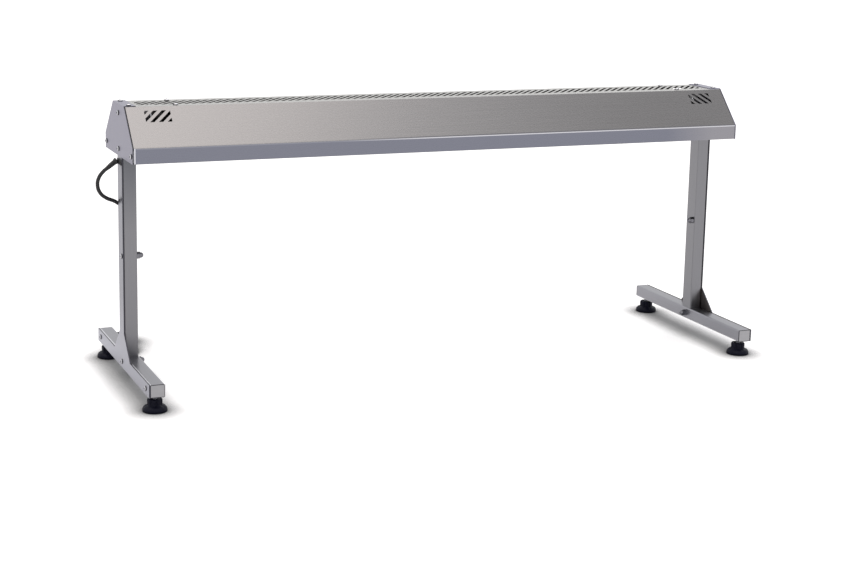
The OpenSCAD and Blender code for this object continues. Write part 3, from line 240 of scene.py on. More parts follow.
def wound_wire_tree():
    """A wire wound about the Z axis at every point: a screw's thread or a heating coil."""
    tree, given = new_tree("wound_wire", {
        "Turns": "Float", "Radius": "Float", "Length": "Float", "Wire": "Float", "Steps": "Int",
        "Sides": "Int", "Finish": "Material",
    })
    helix = add_node(tree, "GeometryNodeCurveSpiral", {
        "Resolution": given["Steps"], "Rotations": given["Turns"], "Start Radius": given["Radius"],
        "End Radius": given["Radius"], "Height": given["Length"],
    })
    section = add_node(tree, "GeometryNodeCurvePrimitiveCircle", {
        "Resolution": given["Sides"], "Radius": given["Wire"],
    })
    wire = add_node(tree, "GeometryNodeCurveToMesh", {
        "Curve": helix.outputs[0], "Profile Curve": section.outputs[0], "Fill Caps": True,
    })
    copies = add_node(tree, "GeometryNodeInstanceOnPoints", {
        "Points": given["Geometry"], "Instance": wire.outputs[0],
    })
    end_tree(tree, copies.outputs[0], given["Finish"])
    return tree


def points_mesh(name, places, facing=None):
    """A mesh of loose points, with the way that each one faces."""
    mesh = bpy.data.meshes.new(name)
    mesh.from_pydata([tuple(p) for p in places], [], [])
    if facing:
        ways = mesh.attributes.new("facing", "FLOAT_VECTOR", "POINT")
        ways.data.foreach_set("vector", [c for way in facing for c in way])
    return mesh


def joined(name, parts):
    """One object from several, whose meshes are already in place. It has the first one's finish."""
    whole = bmesh.new()
    for part in parts:
        whole.from_mesh(part.data)
    mesh = shell_mesh(name, whole)
    for material in parts[0].data.materials:
        mesh.materials.append(material)
    for part in parts:
        bpy.data.objects.remove(part)
    return link(name, mesh)


wound_wire = wound_wire_tree()
# Black glass-filled nylon: near black and bluish, satin, with the grain of a spark-eroded mould.
foot_nylon = patterned("moulded_glass_filled_nylon", "0a0b1a", "141526", 0.5, rough_spread=0.16,
                       spot=2.5 * mm, detail=5.0, depth=0.05 * mm, IOR=1.53,
                       Specular_IOR_Level=0.12)
# Zinc plating on steel: pale and slightly blue, with soft patches.
zinc_steel = patterned("zinc_plated_steel", "a4a6ab", "8f9196", 0.3, metallic=1.0)
# Turned brass: yellow, with the dull rings of the tool.
cut_brass = patterned("turned_brass", "b08d4a", "96753a", 0.35, metallic=1.0, spot=1 * mm,
                      stretch=(6, 6, 1))
for foot in feet:
    pad_low, pad_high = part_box("foot_pad_" + foot)
    middle = Vector(((pad_low.x + pad_high.x) / 2, (pad_low.y + pad_high.y) / 2, 0))
    pad_mesh = turned("pad_" + foot, foot_outline(), 96, foot_flutes)
    soften(pad_mesh, 50)
    pad_mesh.transform(Matrix.Translation(middle))
    pad_mesh.materials.append(foot_nylon)
    pad = link("pad_" + foot, pad_mesh)
    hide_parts("foot_pad_" + foot)
    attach(pad, "pad_" + foot)

    core_mesh = turned("stem_core", [
        (0, stem_low), (stem_r - 0.9 * mm, stem_low), (stem_r - 0.9 * mm, stem_high - 1 * mm),
        (stem_r - 1.8 * mm, stem_high), (0, stem_high),
    ], 24)
    soften(core_mesh)
    core_mesh.transform(Matrix.Translation(middle))
    core_mesh.materials.append(zinc_steel)
    thread_start = points_mesh("thread", [middle + Vector((0, 0, thread_low))])
    thread = grown("thread", thread_start, wound_wire, {
        "Turns": thread_l / thread_pitch, "Radius": stem_r - thread_wire_r, "Length": thread_l,
        "Wire": thread_wire_r, "Steps": 24, "Sides": 4, "Finish": zinc_steel,
    })
    stem = joined("threaded_stem_" + foot, [link("stem_core", core_mesh), thread])
    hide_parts("foot_stem_" + foot)
    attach(stem, "stem_" + foot)
dress(cut_brass, "foot_inserts")

# Base rails and posts
# Box tube of brushed stainless steel, welded shut at the rails' ends by caps. The grain of the
# brushing runs along each tube, and side plates of the same steel are bolted on outside.
foot_shade_low_z = 61 * mm
foot_shade_high_z = 108 * mm
post_shade_low_z = 330 * mm
post_shade_high_z = 480 * mm
plate_shade_low_z = 45 * mm
plate_shade_high_z = 190 * mm
seam_w = 1.4 * mm


def shade(tone, factor):
    """The hex tone made lighter or darker by a factor."""
    return "".join(f"{min(255, round(int(tone[i:i + 2], 16) * factor)):02x}" for i in (0, 2, 4))


def brushed_stainless(name, tone, grain, roughness=0.32, **constants):
    """Stainless steel brushed along an axis: grey, with a faint long grain that spreads highlights.
    Real scratches are 0.1 mm wide, too fine to show, so they are drawn 2 mm wide."""
    width, length = 2 * mm, 160 * mm
    stretch = [length / width if axis == grain else 1 for axis in "XYZ"]
    return patterned(name, shade(tone, 0.99), shade(tone, 1.01), roughness, metallic=1.0,
                     rough_spread=0.03, spot=width, stretch=stretch, detail=1.5,
                     depth=0.002 * mm, **constants)


def surface(tree):
    """The way a surface faces and the place where it lies, each as its X, Y and Z."""
    coords = add_node(tree, "ShaderNodeTexCoord")
    return [
        add_node(tree, "ShaderNodeSeparateXYZ", {0: coords.outputs[name]}).outputs
        for name in ("Normal", "Object")
    ]


def mark(material, share, tone):
    """Lays another tone, a hex value or a node's socket, over a material by this share."""
    tree = material.node_tree
    base = tree.nodes["Principled BSDF"].inputs["Base Color"]
    over = add_node(tree, "ShaderNodeMix", {
        0: share, 6: base.links[0].from_socket, 7: linear(tone) if isinstance(tone, str) else tone,
    }, data_type="RGBA")
    tree.links.new(over.outputs[2], base)


def painted_foot_shade(tree, place, share):
    """Painted shade: how much a surface is painted darker near the rail, in the corner."""
    low = add_node(tree, "ShaderNodeMapRange", {
        "Value": place["Z"], "From Min": foot_shade_low_z, "From Max": foot_shade_high_z,
        "To Min": 0.5, "To Max": 0.0,
    })
    foot_shade_share = add_node(tree, "ShaderNodeMath", {0: low.outputs[0], 1: share}, operation="MULTIPLY")
    return foot_shade_share.outputs[0]


tube_z = brushed_stainless("brushed_stainless_post", "88888c", "Z")
tree = tube_z.node_tree
facing, place = surface(tree)
front = add_node(tree, "ShaderNodeMath", {0: facing["Y"], 1: -0.5}, operation="LESS_THAN")
# Painted shade darkens the posts' front faces near the rail.
mark(tube_z, painted_foot_shade(tree, place, front.outputs[0]), "2c2c30")
# Painted shade: the left post's front is painted a little bluer and darker towards the hood.
hood_shade_share = add_node(tree, "ShaderNodeMapRange", {
    "Value": place["Z"], "From Min": post_shade_low_z, "From Max": post_shade_high_z,
    "To Min": 0.0, "To Max": 0.45,
})
left = add_node(tree, "ShaderNodeMath", {0: place["X"], 1: 0.0}, operation="LESS_THAN")
left_front = add_node(tree, "ShaderNodeMath", {
    0: left.outputs[0], 1: front.outputs[0],
}, operation="MULTIPLY")
painted_post_shade = add_node(tree, "ShaderNodeMath", {
    0: hood_shade_share.outputs[0], 1: left_front.outputs[0],
}, operation="MULTIPLY")
mark(tube_z, painted_post_shade.outputs[0], "3a424c")
dress(tube_z, "post_left", "post_right")

# Painted shade: the rails' tops are painted a little darker.
tube_y = brushed_stainless("brushed_stainless_rail", "99999f", "Y")
tree = tube_y.node_tree
facing, place = surface(tree)
top = add_node(tree, "ShaderNodeMath", {0: facing["Z"], 1: 0.9}, operation="GREATER_THAN")
mark(tube_y, top.outputs[0], "8a8a90")
outward = add_node(tree, "ShaderNodeMath", {0: facing["X"], 1: place["X"]}, operation="MULTIPLY")
both = add_node(tree, "ShaderNodeMath", {
    0: outward.outputs[0], 1: facing["Z"],
}, operation="MULTIPLY")
# Painted highlight along the rails' outer top corner.
corner = add_node(tree, "ShaderNodeMath", {
    0: both.outputs[0], 1: 0.08,
}, operation="GREATER_THAN")
mark(tube_y, corner.outputs[0], "d6d6dc")
dress(tube_y, "base_rail_left", "base_rail_right")

# The side plates are painted evenly darker above the gussets, as shade. The gussets' inward faces
# are painted darker and warmer as shade. The cut edges are dark, partly from the laser and partly
# as painted shade of the gap.
plate_z = brushed_stainless("brushed_stainless_plate", "aeafb9", "Z", 0.36)
tree = plate_z.node_tree
facing, place = surface(tree)
painted_plate_shade = add_node(tree, "ShaderNodeMapRange", {
    "Value": place["Z"], "From Min": plate_shade_low_z, "From Max": plate_shade_high_z,
    "To Min": 0.0, "To Max": 0.35,
})
mark(plate_z, painted_plate_shade.outputs[0], "0a0a0a")
# Painted shade on the gussets' inward faces, and more of it near the rail.
outward = add_node(tree, "ShaderNodeMath", {0: facing["X"], 1: place["X"]}, operation="MULTIPLY")
inner = add_node(tree, "ShaderNodeMath", {0: outward.outputs[0], 1: -0.3}, operation="LESS_THAN")
mark(plate_z, inner.outputs[0], "7d7773")
mark(plate_z, painted_foot_shade(tree, place, inner.outputs[0]), "2c2a2a")
# Dark cut edges: partly laser oxide, partly painted shade of the gap.
across = add_node(tree, "ShaderNodeMath", {0: facing["X"]}, operation="ABSOLUTE")
edge = add_node(tree, "ShaderNodeMath", {0: across.outputs[0], 1: 0.5}, operation="LESS_THAN")
mark(plate_z, edge.outputs[0], "4c4c53")
dress(plate_z, "side_plate_left", "side_plate_right")

# The caps are paler, ground flush, with a dark line round them that is partly the weld and partly
# painted shade of the groove.
rail_low, rail_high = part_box("base_rail_right")
rail_mid = (rail_low + rail_high) / 2
rail_half = (rail_high - rail_low) / 2
cap_steel = brushed_stainless("brushed_stainless_cap", "a6a6a9", "X", 0.4)
tree = cap_steel.node_tree
_, place = surface(tree)
out_x = add_node(tree, "ShaderNodeMath", {0: place["X"]}, operation="ABSOLUTE")
for out, middle, half in (
    (out_x.outputs[0], rail_mid.x, rail_half.x), (place["Z"], rail_mid.z, rail_half.z),
):
    inside = add_node(tree, "ShaderNodeMath", {
        0: out, 1: middle, 2: half - seam_w,
    }, operation="COMPARE")
    weld_line_and_shade = add_node(tree, "ShaderNodeMath", {
        0: 1.0, 1: inside.outputs[0],
    }, operation="SUBTRACT")
    mark(cap_steel, weld_line_and_shade.outputs[0], "4a4a4f")
dress(cap_steel, "rail_end_caps")

# Hood
# One long sheet of brushed stainless steel folded over the heater, with slots punched for the warm
# air, and a flat plate of the same steel closing each end. The grain runs along the hood.
skirt_top_z = 516 * mm
fold_w = 2.2 * mm
shade_fall_from_x = -250 * mm
shade_fall_to_x = 620 * mm
pale_skirt_from_x = 520 * mm
pale_skirt_to_x = 640 * mm
bright_fold_from_x = -260 * mm
bright_fold_to_x = -60 * mm
highlight_strip_x = -695.2 * mm
highlight_strip_half = 1.1 * mm
hood_core = (0, 0, 520 * mm)
hood_steel = brushed_stainless("brushed_stainless_hood", "8d8b8c", "X", 0.27, Anisotropic=0.5)
tree = hood_steel.node_tree
around = add_node(tree, "ShaderNodeTangent", direction_type="RADIAL", axis="X")
tree.links.new(around.outputs[0], tree.nodes["Principled BSDF"].inputs["Tangent"])
facing, place = surface(tree)
# Painted shade: the sheet is painted darker towards the right.
painted_shade_fall = add_node(tree, "ShaderNodeMapRange", {
    "Value": place["X"], "From Min": shade_fall_from_x, "From Max": shade_fall_to_x,
    "To Min": 0.0, "To Max": 0.36,
}, interpolation_type="SMOOTHSTEP")
mark(hood_steel, painted_shade_fall.outputs[0], "0a0a0a")
# Painted highlight: the top is painted paler than the slopes.
top = add_node(tree, "ShaderNodeMath", {0: facing["Z"], 1: 0.95}, operation="GREATER_THAN")
mark(hood_steel, top.outputs[0], "a9a8a5")
# Painted reflection: the skirt is painted cooler, and paler towards its right end.
skirt = add_node(tree, "ShaderNodeMath", {0: place["Z"], 1: skirt_top_z}, operation="LESS_THAN")
skirt_end = add_node(tree, "ShaderNodeMapRange", {
    "Value": place["X"], "From Min": pale_skirt_from_x, "From Max": pale_skirt_to_x,
})
painted_skirt_reflection = add_node(tree, "ShaderNodeMix", {
    0: skirt_end.outputs[0], 6: linear("7f818d"), 7: linear("97969c"),
}, data_type="RGBA")
mark(hood_steel, skirt.outputs[0], painted_skirt_reflection.outputs[2])
# A painted highlight lies on the skirt's fold and a painted shade line just above it, both faint to
# the left.
fold_light_share = add_node(tree, "ShaderNodeMapRange", {
    "Value": place["X"], "From Min": bright_fold_from_x, "From Max": bright_fold_to_x,
    "To Min": 0.15, "To Max": 1.0,
})
for middle, tone in ((skirt_top_z - fold_w / 2, "d4d4da"), (skirt_top_z + fold_w / 2, "6c6b6f")):
    band = add_node(tree, "ShaderNodeMath", {
        0: place["Z"], 1: middle, 2: fold_w / 2,
    }, operation="COMPARE")
    painted_fold_tone = add_node(tree, "ShaderNodeMath", {
        0: band.outputs[0], 1: fold_light_share.outputs[0],
    }, operation="MULTIPLY")
    mark(hood_steel, painted_fold_tone.outputs[0], tone)
# Beside the left end plate a narrow strip of the skirt has a painted highlight.
strip = add_node(tree, "ShaderNodeMath", {
    0: place["X"], 1: highlight_strip_x, 2: highlight_strip_half,
}, operation="COMPARE")
painted_strip_highlight = add_node(tree, "ShaderNodeMath", {
    0: strip.outputs[0], 1: skirt.outputs[0],
}, operation="MULTIPLY")
mark(hood_steel, painted_strip_highlight.outputs[0], "e6e6ec")
# The punched slots and the sheet's ends show dark cut edges, partly laser oxide and partly painted
# shade of the slots and of the gap at the end plates.
across = add_node(tree, "ShaderNodeMath", {0: facing["X"]}, operation="ABSOLUTE")
edge = add_node(tree, "ShaderNodeMath", {0: across.outputs[0], 1: 0.5}, operation="GREATER_THAN")
mark(hood_steel, edge.outputs[0], "29292b")
# Inside, the sheet is left as it was rolled, and the heat has browned it dark.
coords = add_node(tree, "ShaderNodeTexCoord")
upright = add_node(tree, "ShaderNodeVectorMath", {
    0: coords.outputs["Normal"], 1: (0, 1, 1),
}, operation="MULTIPLY")
from_core = add_node(tree, "ShaderNodeVectorMath", {
    0: coords.outputs["Object"], 1: hood_core,
}, operation="SUBTRACT")
outward = add_node(tree, "ShaderNodeVectorMath", {
    0: upright.outputs[0], 1: from_core.outputs[0],
}, operation="DOT_PRODUCT")
inner = add_node(tree, "ShaderNodeMath", {
    0: outward.outputs["Value"], 1: 0.0,
}, operation="LESS_THAN")
mark(hood_steel, inner.outputs[0], "3d3b3a")
dress(hood_steel, "canopy", "canopy_lips")

# Painted shade: the end plates' cut edges are painted dark at the left end only.
end_steel = brushed_stainless("brushed_stainless_end", "898897", "Z", 0.36)
tree = end_steel.node_tree
facing, place = surface(tree)
across = add_node(tree, "ShaderNodeMath", {0: facing["X"]}, operation="ABSOLUTE")
flat = add_node(tree, "ShaderNodeMath", {0: across.outputs[0], 1: facing["Z"]}, operation="MAXIMUM")
edge = add_node(tree, "ShaderNodeMath", {0: flat.outputs[0], 1: 0.95}, operation="LESS_THAN")
left = add_node(tree, "ShaderNodeMath", {0: place["X"], 1: 0.0}, operation="LESS_THAN")
painted_edge_shade = add_node(tree, "ShaderNodeMath", {
    0: edge.outputs[0], 1: left.outputs[0],
}, operation="MULTIPLY")
mark(end_steel, painted_edge_shade.outputs[0], "47474d")
dress(end_steel, "end_plate_left", "end_plate_right")
dress(brushed_stainless("brushed_stainless_angle", "96969a", "Z", 0.38), "corner_angles")

# Screws and bolts
# Button-head screws with a hexagon socket, of tumbled stainless steel. They hold the hood's sheets
# and the side plates, and longer bolts of the same kind go through posts and rails into dome nuts.
head_r = 5.75 * mm
head_h = 3.6 * mm
socket_w = 4 * mm
socket_depth = 2.1 * mm


def screw_outline(shank_r, shank_l):
    """From the socket's floor over the dome to the shank's end."""
    socket_r = socket_w / 2
    points = [
        (0, head_h - socket_depth), (socket_r, head_h - socket_depth),
        (socket_r, head_h - 0.15 * mm),
    ]
    dome_r = (head_r ** 2 + head_h ** 2) / (2 * head_h)
    flat_r = socket_r + 0.35 * mm
    for i in range(9):
        radius = flat_r + (head_r - flat_r) * i / 8
        points.append((radius, math.sqrt(dome_r ** 2 - radius ** 2) - dome_r + head_h))
    return points + [
        (shank_r, 0), (shank_r, -shank_l + 0.6 * mm), (shank_r - 0.6 * mm, -shank_l), (0, -shank_l),
    ]


def hexagon(radius, height, turn):
    """The socket's walls are six flats."""
    if radius > socket_w / 2 + 0.01 * mm:
        return radius
    return radius / math.cos((turn + math.pi / 6) % (math.pi / 3) - math.pi / 6)


def screws_tree():
    """A screw on every point, along the way it faces and turned at random about its own axis."""
    tree, given = new_tree("set_of_screws", {
        "Screw": "Object", "Seed": "Int", "Finish": "Material",
    })
    facing = add_node(tree, "GeometryNodeInputNamedAttribute", {
        "Name": "facing",
    }, data_type="FLOAT_VECTOR")
    upright = add_node(tree, "FunctionNodeAlignRotationToVector", {
        "Vector": facing.outputs[0],
    }, axis="Z")
    turn = add_node(tree, "FunctionNodeRandomValue", {
        "Seed": given["Seed"], 2: 0.0, 3: 2 * math.pi,
    }, data_type="FLOAT")
    angles = add_node(tree, "ShaderNodeCombineXYZ", {"Z": turn.outputs[1]})
    spin = add_node(tree, "FunctionNodeEulerToRotation", {0: angles.outputs[0]})
    placed = add_node(tree, "FunctionNodeRotateRotation", {
        "Rotation": upright.outputs[0], "Rotate By": spin.outputs[0],
    }, rotation_space="LOCAL")
    screw = add_node(tree, "GeometryNodeObjectInfo", {"Object": given["Screw"]})
    copies = add_node(tree, "GeometryNodeInstanceOnPoints", {
        "Points": given["Geometry"], "Instance": screw.outputs["Geometry"],
        "Rotation": placed.outputs[0],
    })
    end_tree(tree, copies.outputs[0], given["Finish"])
    return tree


set_of_screws = screws_tree()
# Tumbled stainless steel: bright on the dome, with painted shade round the rim and in the socket.
bright_steel = patterned("tumbled_stainless_steel", "d2d2d6", "b4b4ba", 0.22, metallic=1.0,
                         spot=3 * mm)
painted_rim_shade = add_node(bright_steel.node_tree, "ShaderNodeAttribute", attribute_name="painted_rim_shade")
mark(bright_steel, painted_rim_shade.outputs["Fac"], "1d1d20")


def screws(name, replaced, seats, shank_r=3 * mm, shank_l=8 * mm, seed=1):
    """Screws on these seats, each a place and the way its head faces."""
    mesh = turned(name + "_screw", screw_outline(shank_r, shank_l), 36, hexagon)
    soften(mesh, 40)
    # Painted shade: the rim and the socket are marked to be painted dark.
    rim_shade_values = mesh.attributes.new("painted_rim_shade", "FLOAT", "POINT")
    for spot, point in zip(rim_shade_values.data, mesh.vertices):
        reach = math.hypot(point.co.x, point.co.y)
        spot.value = 0.0 if socket_w / 2 + 0.3 * mm < reach < head_r - 1.2 * mm else 1.0
    pattern = link(name + "_screw", mesh)
    made = grown(name, points_mesh(name, *zip(*seats)), set_of_screws, {
        "Screw": pattern, "Seed": seed, "Finish": bright_steel,
    })
    bpy.data.objects.remove(pattern)
    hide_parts(*replaced)
    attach(made, "root")


plate_low, plate_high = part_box("end_plate_right")
hood_x = plate_high.x
hood_top = plate_high.z
skin_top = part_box("canopy")[1].z
side_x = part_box("side_plate_right")[1].x
ends = (-1, 1)
flange_seat_x = hood_x - 13 * mm
hanger_seat_x = 590 * mm
top_seat_y = 37 * mm
lower_seat_z = plate_low.z + 15 * mm
upper_seat_z = hood_top - 19 * mm
angle_seat_y = 111.8 * mm
rail_seat_y = 208 * mm
rail_seat_z = 47.5 * mm
post_bolt_y = -9 * mm
post_bolt_z = 275 * mm
up = (0, 0, 1)
screws("top_screw_set", ["top_screws"], [
    ((x * reach, y * top_seat_y, z), up)
    for reach, z in ((flange_seat_x, hood_top), (hanger_seat_x, skin_top))
    for x in ends
    for y in ends
], seed=2)
screws("end_screw_set", ["end_plate_screws"], [
    ((x * hood_x, y, z), (x, 0, 0))
    for x in ends
    for y, z in (
        (0, upper_seat_z), (0, lower_seat_z),
        (-angle_seat_y, lower_seat_z), (angle_seat_y, lower_seat_z),
    )
], seed=4)
screws("rail_screw_set", ["rail_screws"], [
    ((x * side_x, y * rail_seat_y, rail_seat_z), (x, 0, 0)) for x in ends for y in ends
], seed=5)
screws("through_bolt_set", ["through_bolts"], [
    ((x * side_x, y, z), (x, 0, 0))
    for x in ends
    for y, z in ((post_bolt_y, post_bolt_z), (0, rail_seat_z))
], shank_r=4 * mm, shank_l=41.5 * mm, seed=6)
# The dome nuts inside the stand are given a darker tone.
nut_steel = patterned("drawn_stainless_nut", "8a8a90", "66666c", 0.24, metallic=1.0, spot=2 * mm)
dress(nut_steel, "dome_nuts")
dress(zinc_steel, "clinch_nuts")

# Heater casings
# Two lengths of extruded aluminium, satin anodised, with fine ribs along their arch and a bolt rail
# on top. Flat covers close them below, and cut plates of the same aluminium close their ends.
arch_z = 520 * mm
arch_r = 56 * mm
rib_w = 0.9 * mm
rib_h = 0.35 * mm
rib_from = math.radians(6)
rib_to = math.radians(71)
ribs_each_side = 26
rib_short = 1 * mm
stain_low_z = 538 * mm
stain_high_z = 556 * mm


def anodised_aluminium(name, tone, grain, roughness=0.36):
    """Extruded aluminium, satin anodised: pale, even and matt, with faint lines from the die."""
    stretch = [120 if axis == grain else 1 for axis in "XYZ"]
    return patterned(name, shade(tone, 0.96), shade(tone, 1.03), roughness, metallic=1.0,
                     rough_spread=0.05, spot=1.2 * mm, stretch=stretch, detail=2.0,
                     depth=0.01 * mm)


def bars_tree(name, axis, pivot):
    """A bar on every point. This axis of it lies the way the point faces, turned about pivot."""
    tree, given = new_tree(name, {
        "Length": "Float", "Width": "Float", "Height": "Float", "Finish": "Material",
    })
    facing = add_node(tree, "GeometryNodeInputNamedAttribute", {
        "Name": "facing",
    }, data_type="FLOAT_VECTOR")
    placed = add_node(tree, "FunctionNodeAlignRotationToVector", {
        "Vector": facing.outputs[0],
    }, axis=axis, pivot_axis=pivot)
    size = add_node(tree, "ShaderNodeCombineXYZ", {
        "X": given["Length"], "Y": given["Width"], "Z": given["Height"],
    })
    bar = add_node(tree, "GeometryNodeMeshCube", {"Size": size.outputs[0]})
    copies = add_node(tree, "GeometryNodeInstanceOnPoints", {
        "Points": given["Geometry"], "Instance": bar.outputs[0], "Rotation": placed.outputs[0],
    })
    end_tree(tree, copies.outputs[0], given["Finish"])
    return tree


casing_metal = anodised_aluminium("anodised_aluminium_casing", "b3b3b6", "X")
# The lamps' heat has stained the arch dark towards its top.
tree = casing_metal.node_tree
_, place = surface(tree)
stained = add_node(tree, "ShaderNodeMapRange", {
    "Value": place["Z"], "From Min": stain_low_z, "From Max": stain_high_z,
    "To Min": 0.0, "To Max": 0.95,
})
mark(casing_metal, stained.outputs[0], "262423")
extruded_ribs = bars_tree("extruded_ribs", "Z", "X")
for section in ("lamp", "control"):
    low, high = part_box(section + "_casing")
    arch_mid = Vector(((low.x + high.x) / 2, 0, arch_z))
    rib_seats = []
    for way in ends:
        for i in range(ribs_each_side):
            turn = rib_from + (rib_to - rib_from) * i / (ribs_each_side - 1)
            out = Vector((0, way * math.cos(turn), math.sin(turn)))
            reach = min(arch_r, high.y / math.cos(turn))
            square = out if reach == arch_r else Vector((0, way, 0))
            rib_seats.append((arch_mid + out * reach, square))
    ribs = grown(section + "_casing_ribs", points_mesh("ribs", *zip(*rib_seats)), extruded_ribs, {
        "Length": high.x - low.x - rib_short, "Width": rib_w, "Height": 2 * rib_h,
        "Finish": casing_metal,
    })
    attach(ribs, "root")
dress(casing_metal, "lamp_casing", "control_casing")
cover_metal = anodised_aluminium("anodised_aluminium_cover", "b6b7bb", "X", 0.32)
dress(cover_metal, "lamp_cover", "control_cover")
dress(anodised_aluminium("anodised_aluminium_end", "adadb1", "Z", 0.4),
      "lamp_end_inner", "lamp_end_outer", "control_end_cap", "control_partition")
dress(anodised_aluminium("aluminium_spacer", "77777c", "X", 0.45), "spacer_tube")

# Lamps
# Quartz tubes with a wound resistance wire inside, held in ceramic blocks under a polished
# reflector. Stainless wire guards are hooked through the cover below each one.
tube_low, tube_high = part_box("quartz_tube_1")
coil_z = (tube_low.z + tube_high.z) / 2
coil_r = 3.1 * mm
coil_wire_r = 0.45 * mm
coil_turns = 64.0
end_l = 9 * mm
bead_r = 4.9 * mm
bead_outline = [
    (0, 0), (bead_r - 0.3 * mm, 0), (bead_r, 0.4 * mm), (bead_r, 5.4 * mm),
    (bead_r - 0.5 * mm, 6 * mm), (coil_r + 0.4 * mm, 6.2 * mm), (coil_r - 0.6 * mm, end_l),
    (0, end_l),
]

# Clear fused quartz: smooth, with a slight haze in lines from its drawing.
quartz = patterned("clear_fused_quartz", "f4f6fa", "eef1f6", 0.06, rough_spread=0.08,
                   spot=1.5 * mm, stretch=(60, 1, 1), IOR=1.458, Transmission_Weight=1.0)
# Resistance wire: brown-grey with oxide, uneven.
coil_metal = patterned("oxidised_resistance_wire", "6d655f", "50494a", 0.45, metallic=1.0,
                       spot=4 * mm)
# Fired steatite: cream, fine-grained and matt.
ceramic = patterned("fired_steatite", "ded8c8", "c9c2b0", 0.62, spot=3 * mm, detail=5.0,
                    depth=0.04 * mm, IOR=1.6)
coil_parts = []
for i in (1, 2, 3):
    low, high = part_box(f"quartz_tube_{i}")
    dress(quartz, f"quartz_tube_{i}")
    length = high.x - low.x
    lying = Matrix.Translation((low.x, 0, coil_z)) @ Matrix.Rotation(math.pi / 2, 4, "Y")
    coil = grown("coil", points_mesh("coil", [(0, 0, end_l)]), wound_wire, {
        "Turns": coil_turns, "Radius": coil_r, "Length": length - 2 * end_l,
        "Wire": coil_wire_r, "Steps": 14, "Sides": 5, "Finish": coil_metal,
    })
    coil.data.transform(lying)
    coil_parts.append(coil)
    for start, way in ((0, 1), (length, -1)):
        outline = [(radius, start + way * along) for radius, along in bead_outline]
        bead_mesh = turned("bead", outline, 24)
        soften(bead_mesh)
        bead_mesh.transform(lying)
        coil_parts.append(link("bead", bead_mesh))
coils = joined("resistance_coils", coil_parts)
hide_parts("heating_coils")
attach(coils, "root")
dress(ceramic, "tube_holders")
# Bright-rolled aluminium: nearly a mirror, cool, faintly streaked along the roll.
mirror = patterned("bright_rolled_aluminium", "dfe3ea", "d3d8e0", 0.12, metallic=1.0,
                   rough_spread=0.1, spot=3 * mm, stretch=(50, 1, 1))
dress(mirror, "reflector")
# Drawn stainless wire: dark and satin from the heat.
guard_wire = patterned("drawn_stainless_wire", "4a4b52", "3a3b41", 0.35, metallic=1.0, spot=3 * mm)
dress(guard_wire, "wire_guards")

# Cover screws
# Small pan-head screws of zinc-plated steel, driven up through the corners of the two covers into
# the casings' ledges.
cover_inset = 8 * mm
cover_seat_y = 48 * mm
down = (0, 0, -1)
cover_seats = []
for section in ("lamp", "control"):
    low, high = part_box(section + "_cover")
    for x in (low.x + cover_inset, high.x - cover_inset):
        for y in ends:
            cover_seats.append(((x, y * cover_seat_y, low.z), down))
# Over the recess and the pan head, and down the shank.
small_outline = [
    (0, 0.5 * mm), (0.9 * mm, 0.5 * mm), (1.0 * mm, 1.5 * mm), (2.2 * mm, 1.4 * mm),
    (3.0 * mm, 0.9 * mm), (3.3 * mm, 0.2 * mm), (3.3 * mm, 0), (1.5 * mm, 0),
    (1.5 * mm, -2 * mm), (0, -2 * mm),
]
small_mesh = turned("cover_screw", small_outline, 20)
soften(small_mesh, 40)
small_screw = link("cover_screw", small_mesh)
seats_mesh = points_mesh("cover_screw_set", *zip(*cover_seats))
cover_screws = grown("cover_screw_set", seats_mesh, set_of_screws, {
    "Screw": small_screw, "Seed": 7, "Finish": zinc_steel,
})
bpy.data.objects.remove(small_screw)
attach(cover_screws, "root")

# Control knob and dial
# A black ABS knob with a grip bar and a silver inlay, on a round aluminium dial plate. White marks
# and plain numbers for the heat steps are printed on the knob's skirt. Behind the cover sit the
# rotary switch and the terminal block.
knob_low, knob_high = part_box("knob")
knob_x = (knob_low.x + knob_high.x) / 2
knob_face_z = knob_high.z - 7 * mm
marks = 28
mark_r = 18.2 * mm
mark_l = 2.6 * mm
mark_w = 0.6 * mm
grip_half = 6.5 * mm
number_r = 13.2 * mm
number_h = 4.6 * mm
ink_t = 0.08 * mm
inlay_sizes = (4.5 * mm, 38 * mm, 0.8 * mm)

# Black moulded ABS: satin with a faint grain.
knob_abs = patterned("moulded_abs_knob", "111114", "19191c", 0.36, rough_spread=0.14,
                     spot=2 * mm, depth=0.03 * mm, IOR=1.53)
# Pad-printed white ink: flat and matt, a little thin in places.
white_ink = patterned("printed_white_ink", "e6e6e4", "cfcfcd", 0.6, spot=1.5 * mm)
dress(knob_abs, "knob")
face_middle = Vector((knob_x, 0, knob_face_z))
mark_seats = []
for i in range(marks):
    turn = 2 * math.pi * i / marks
    out = Vector((math.cos(turn), math.sin(turn), 0))
    if abs(out.x) * mark_r >= grip_half + 1.5 * mm:
        mark_seats.append((face_middle + out * mark_r, out))
marks_mesh = points_mesh("dial_marks", *zip(*mark_seats))
dial_marks = grown("dial_marks", marks_mesh, bars_tree("dial_marks", "X", "Z"), {
    "Length": mark_l, "Width": mark_w, "Height": 0.2 * mm, "Finish": white_ink,
})
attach(dial_marks, "control_knob")


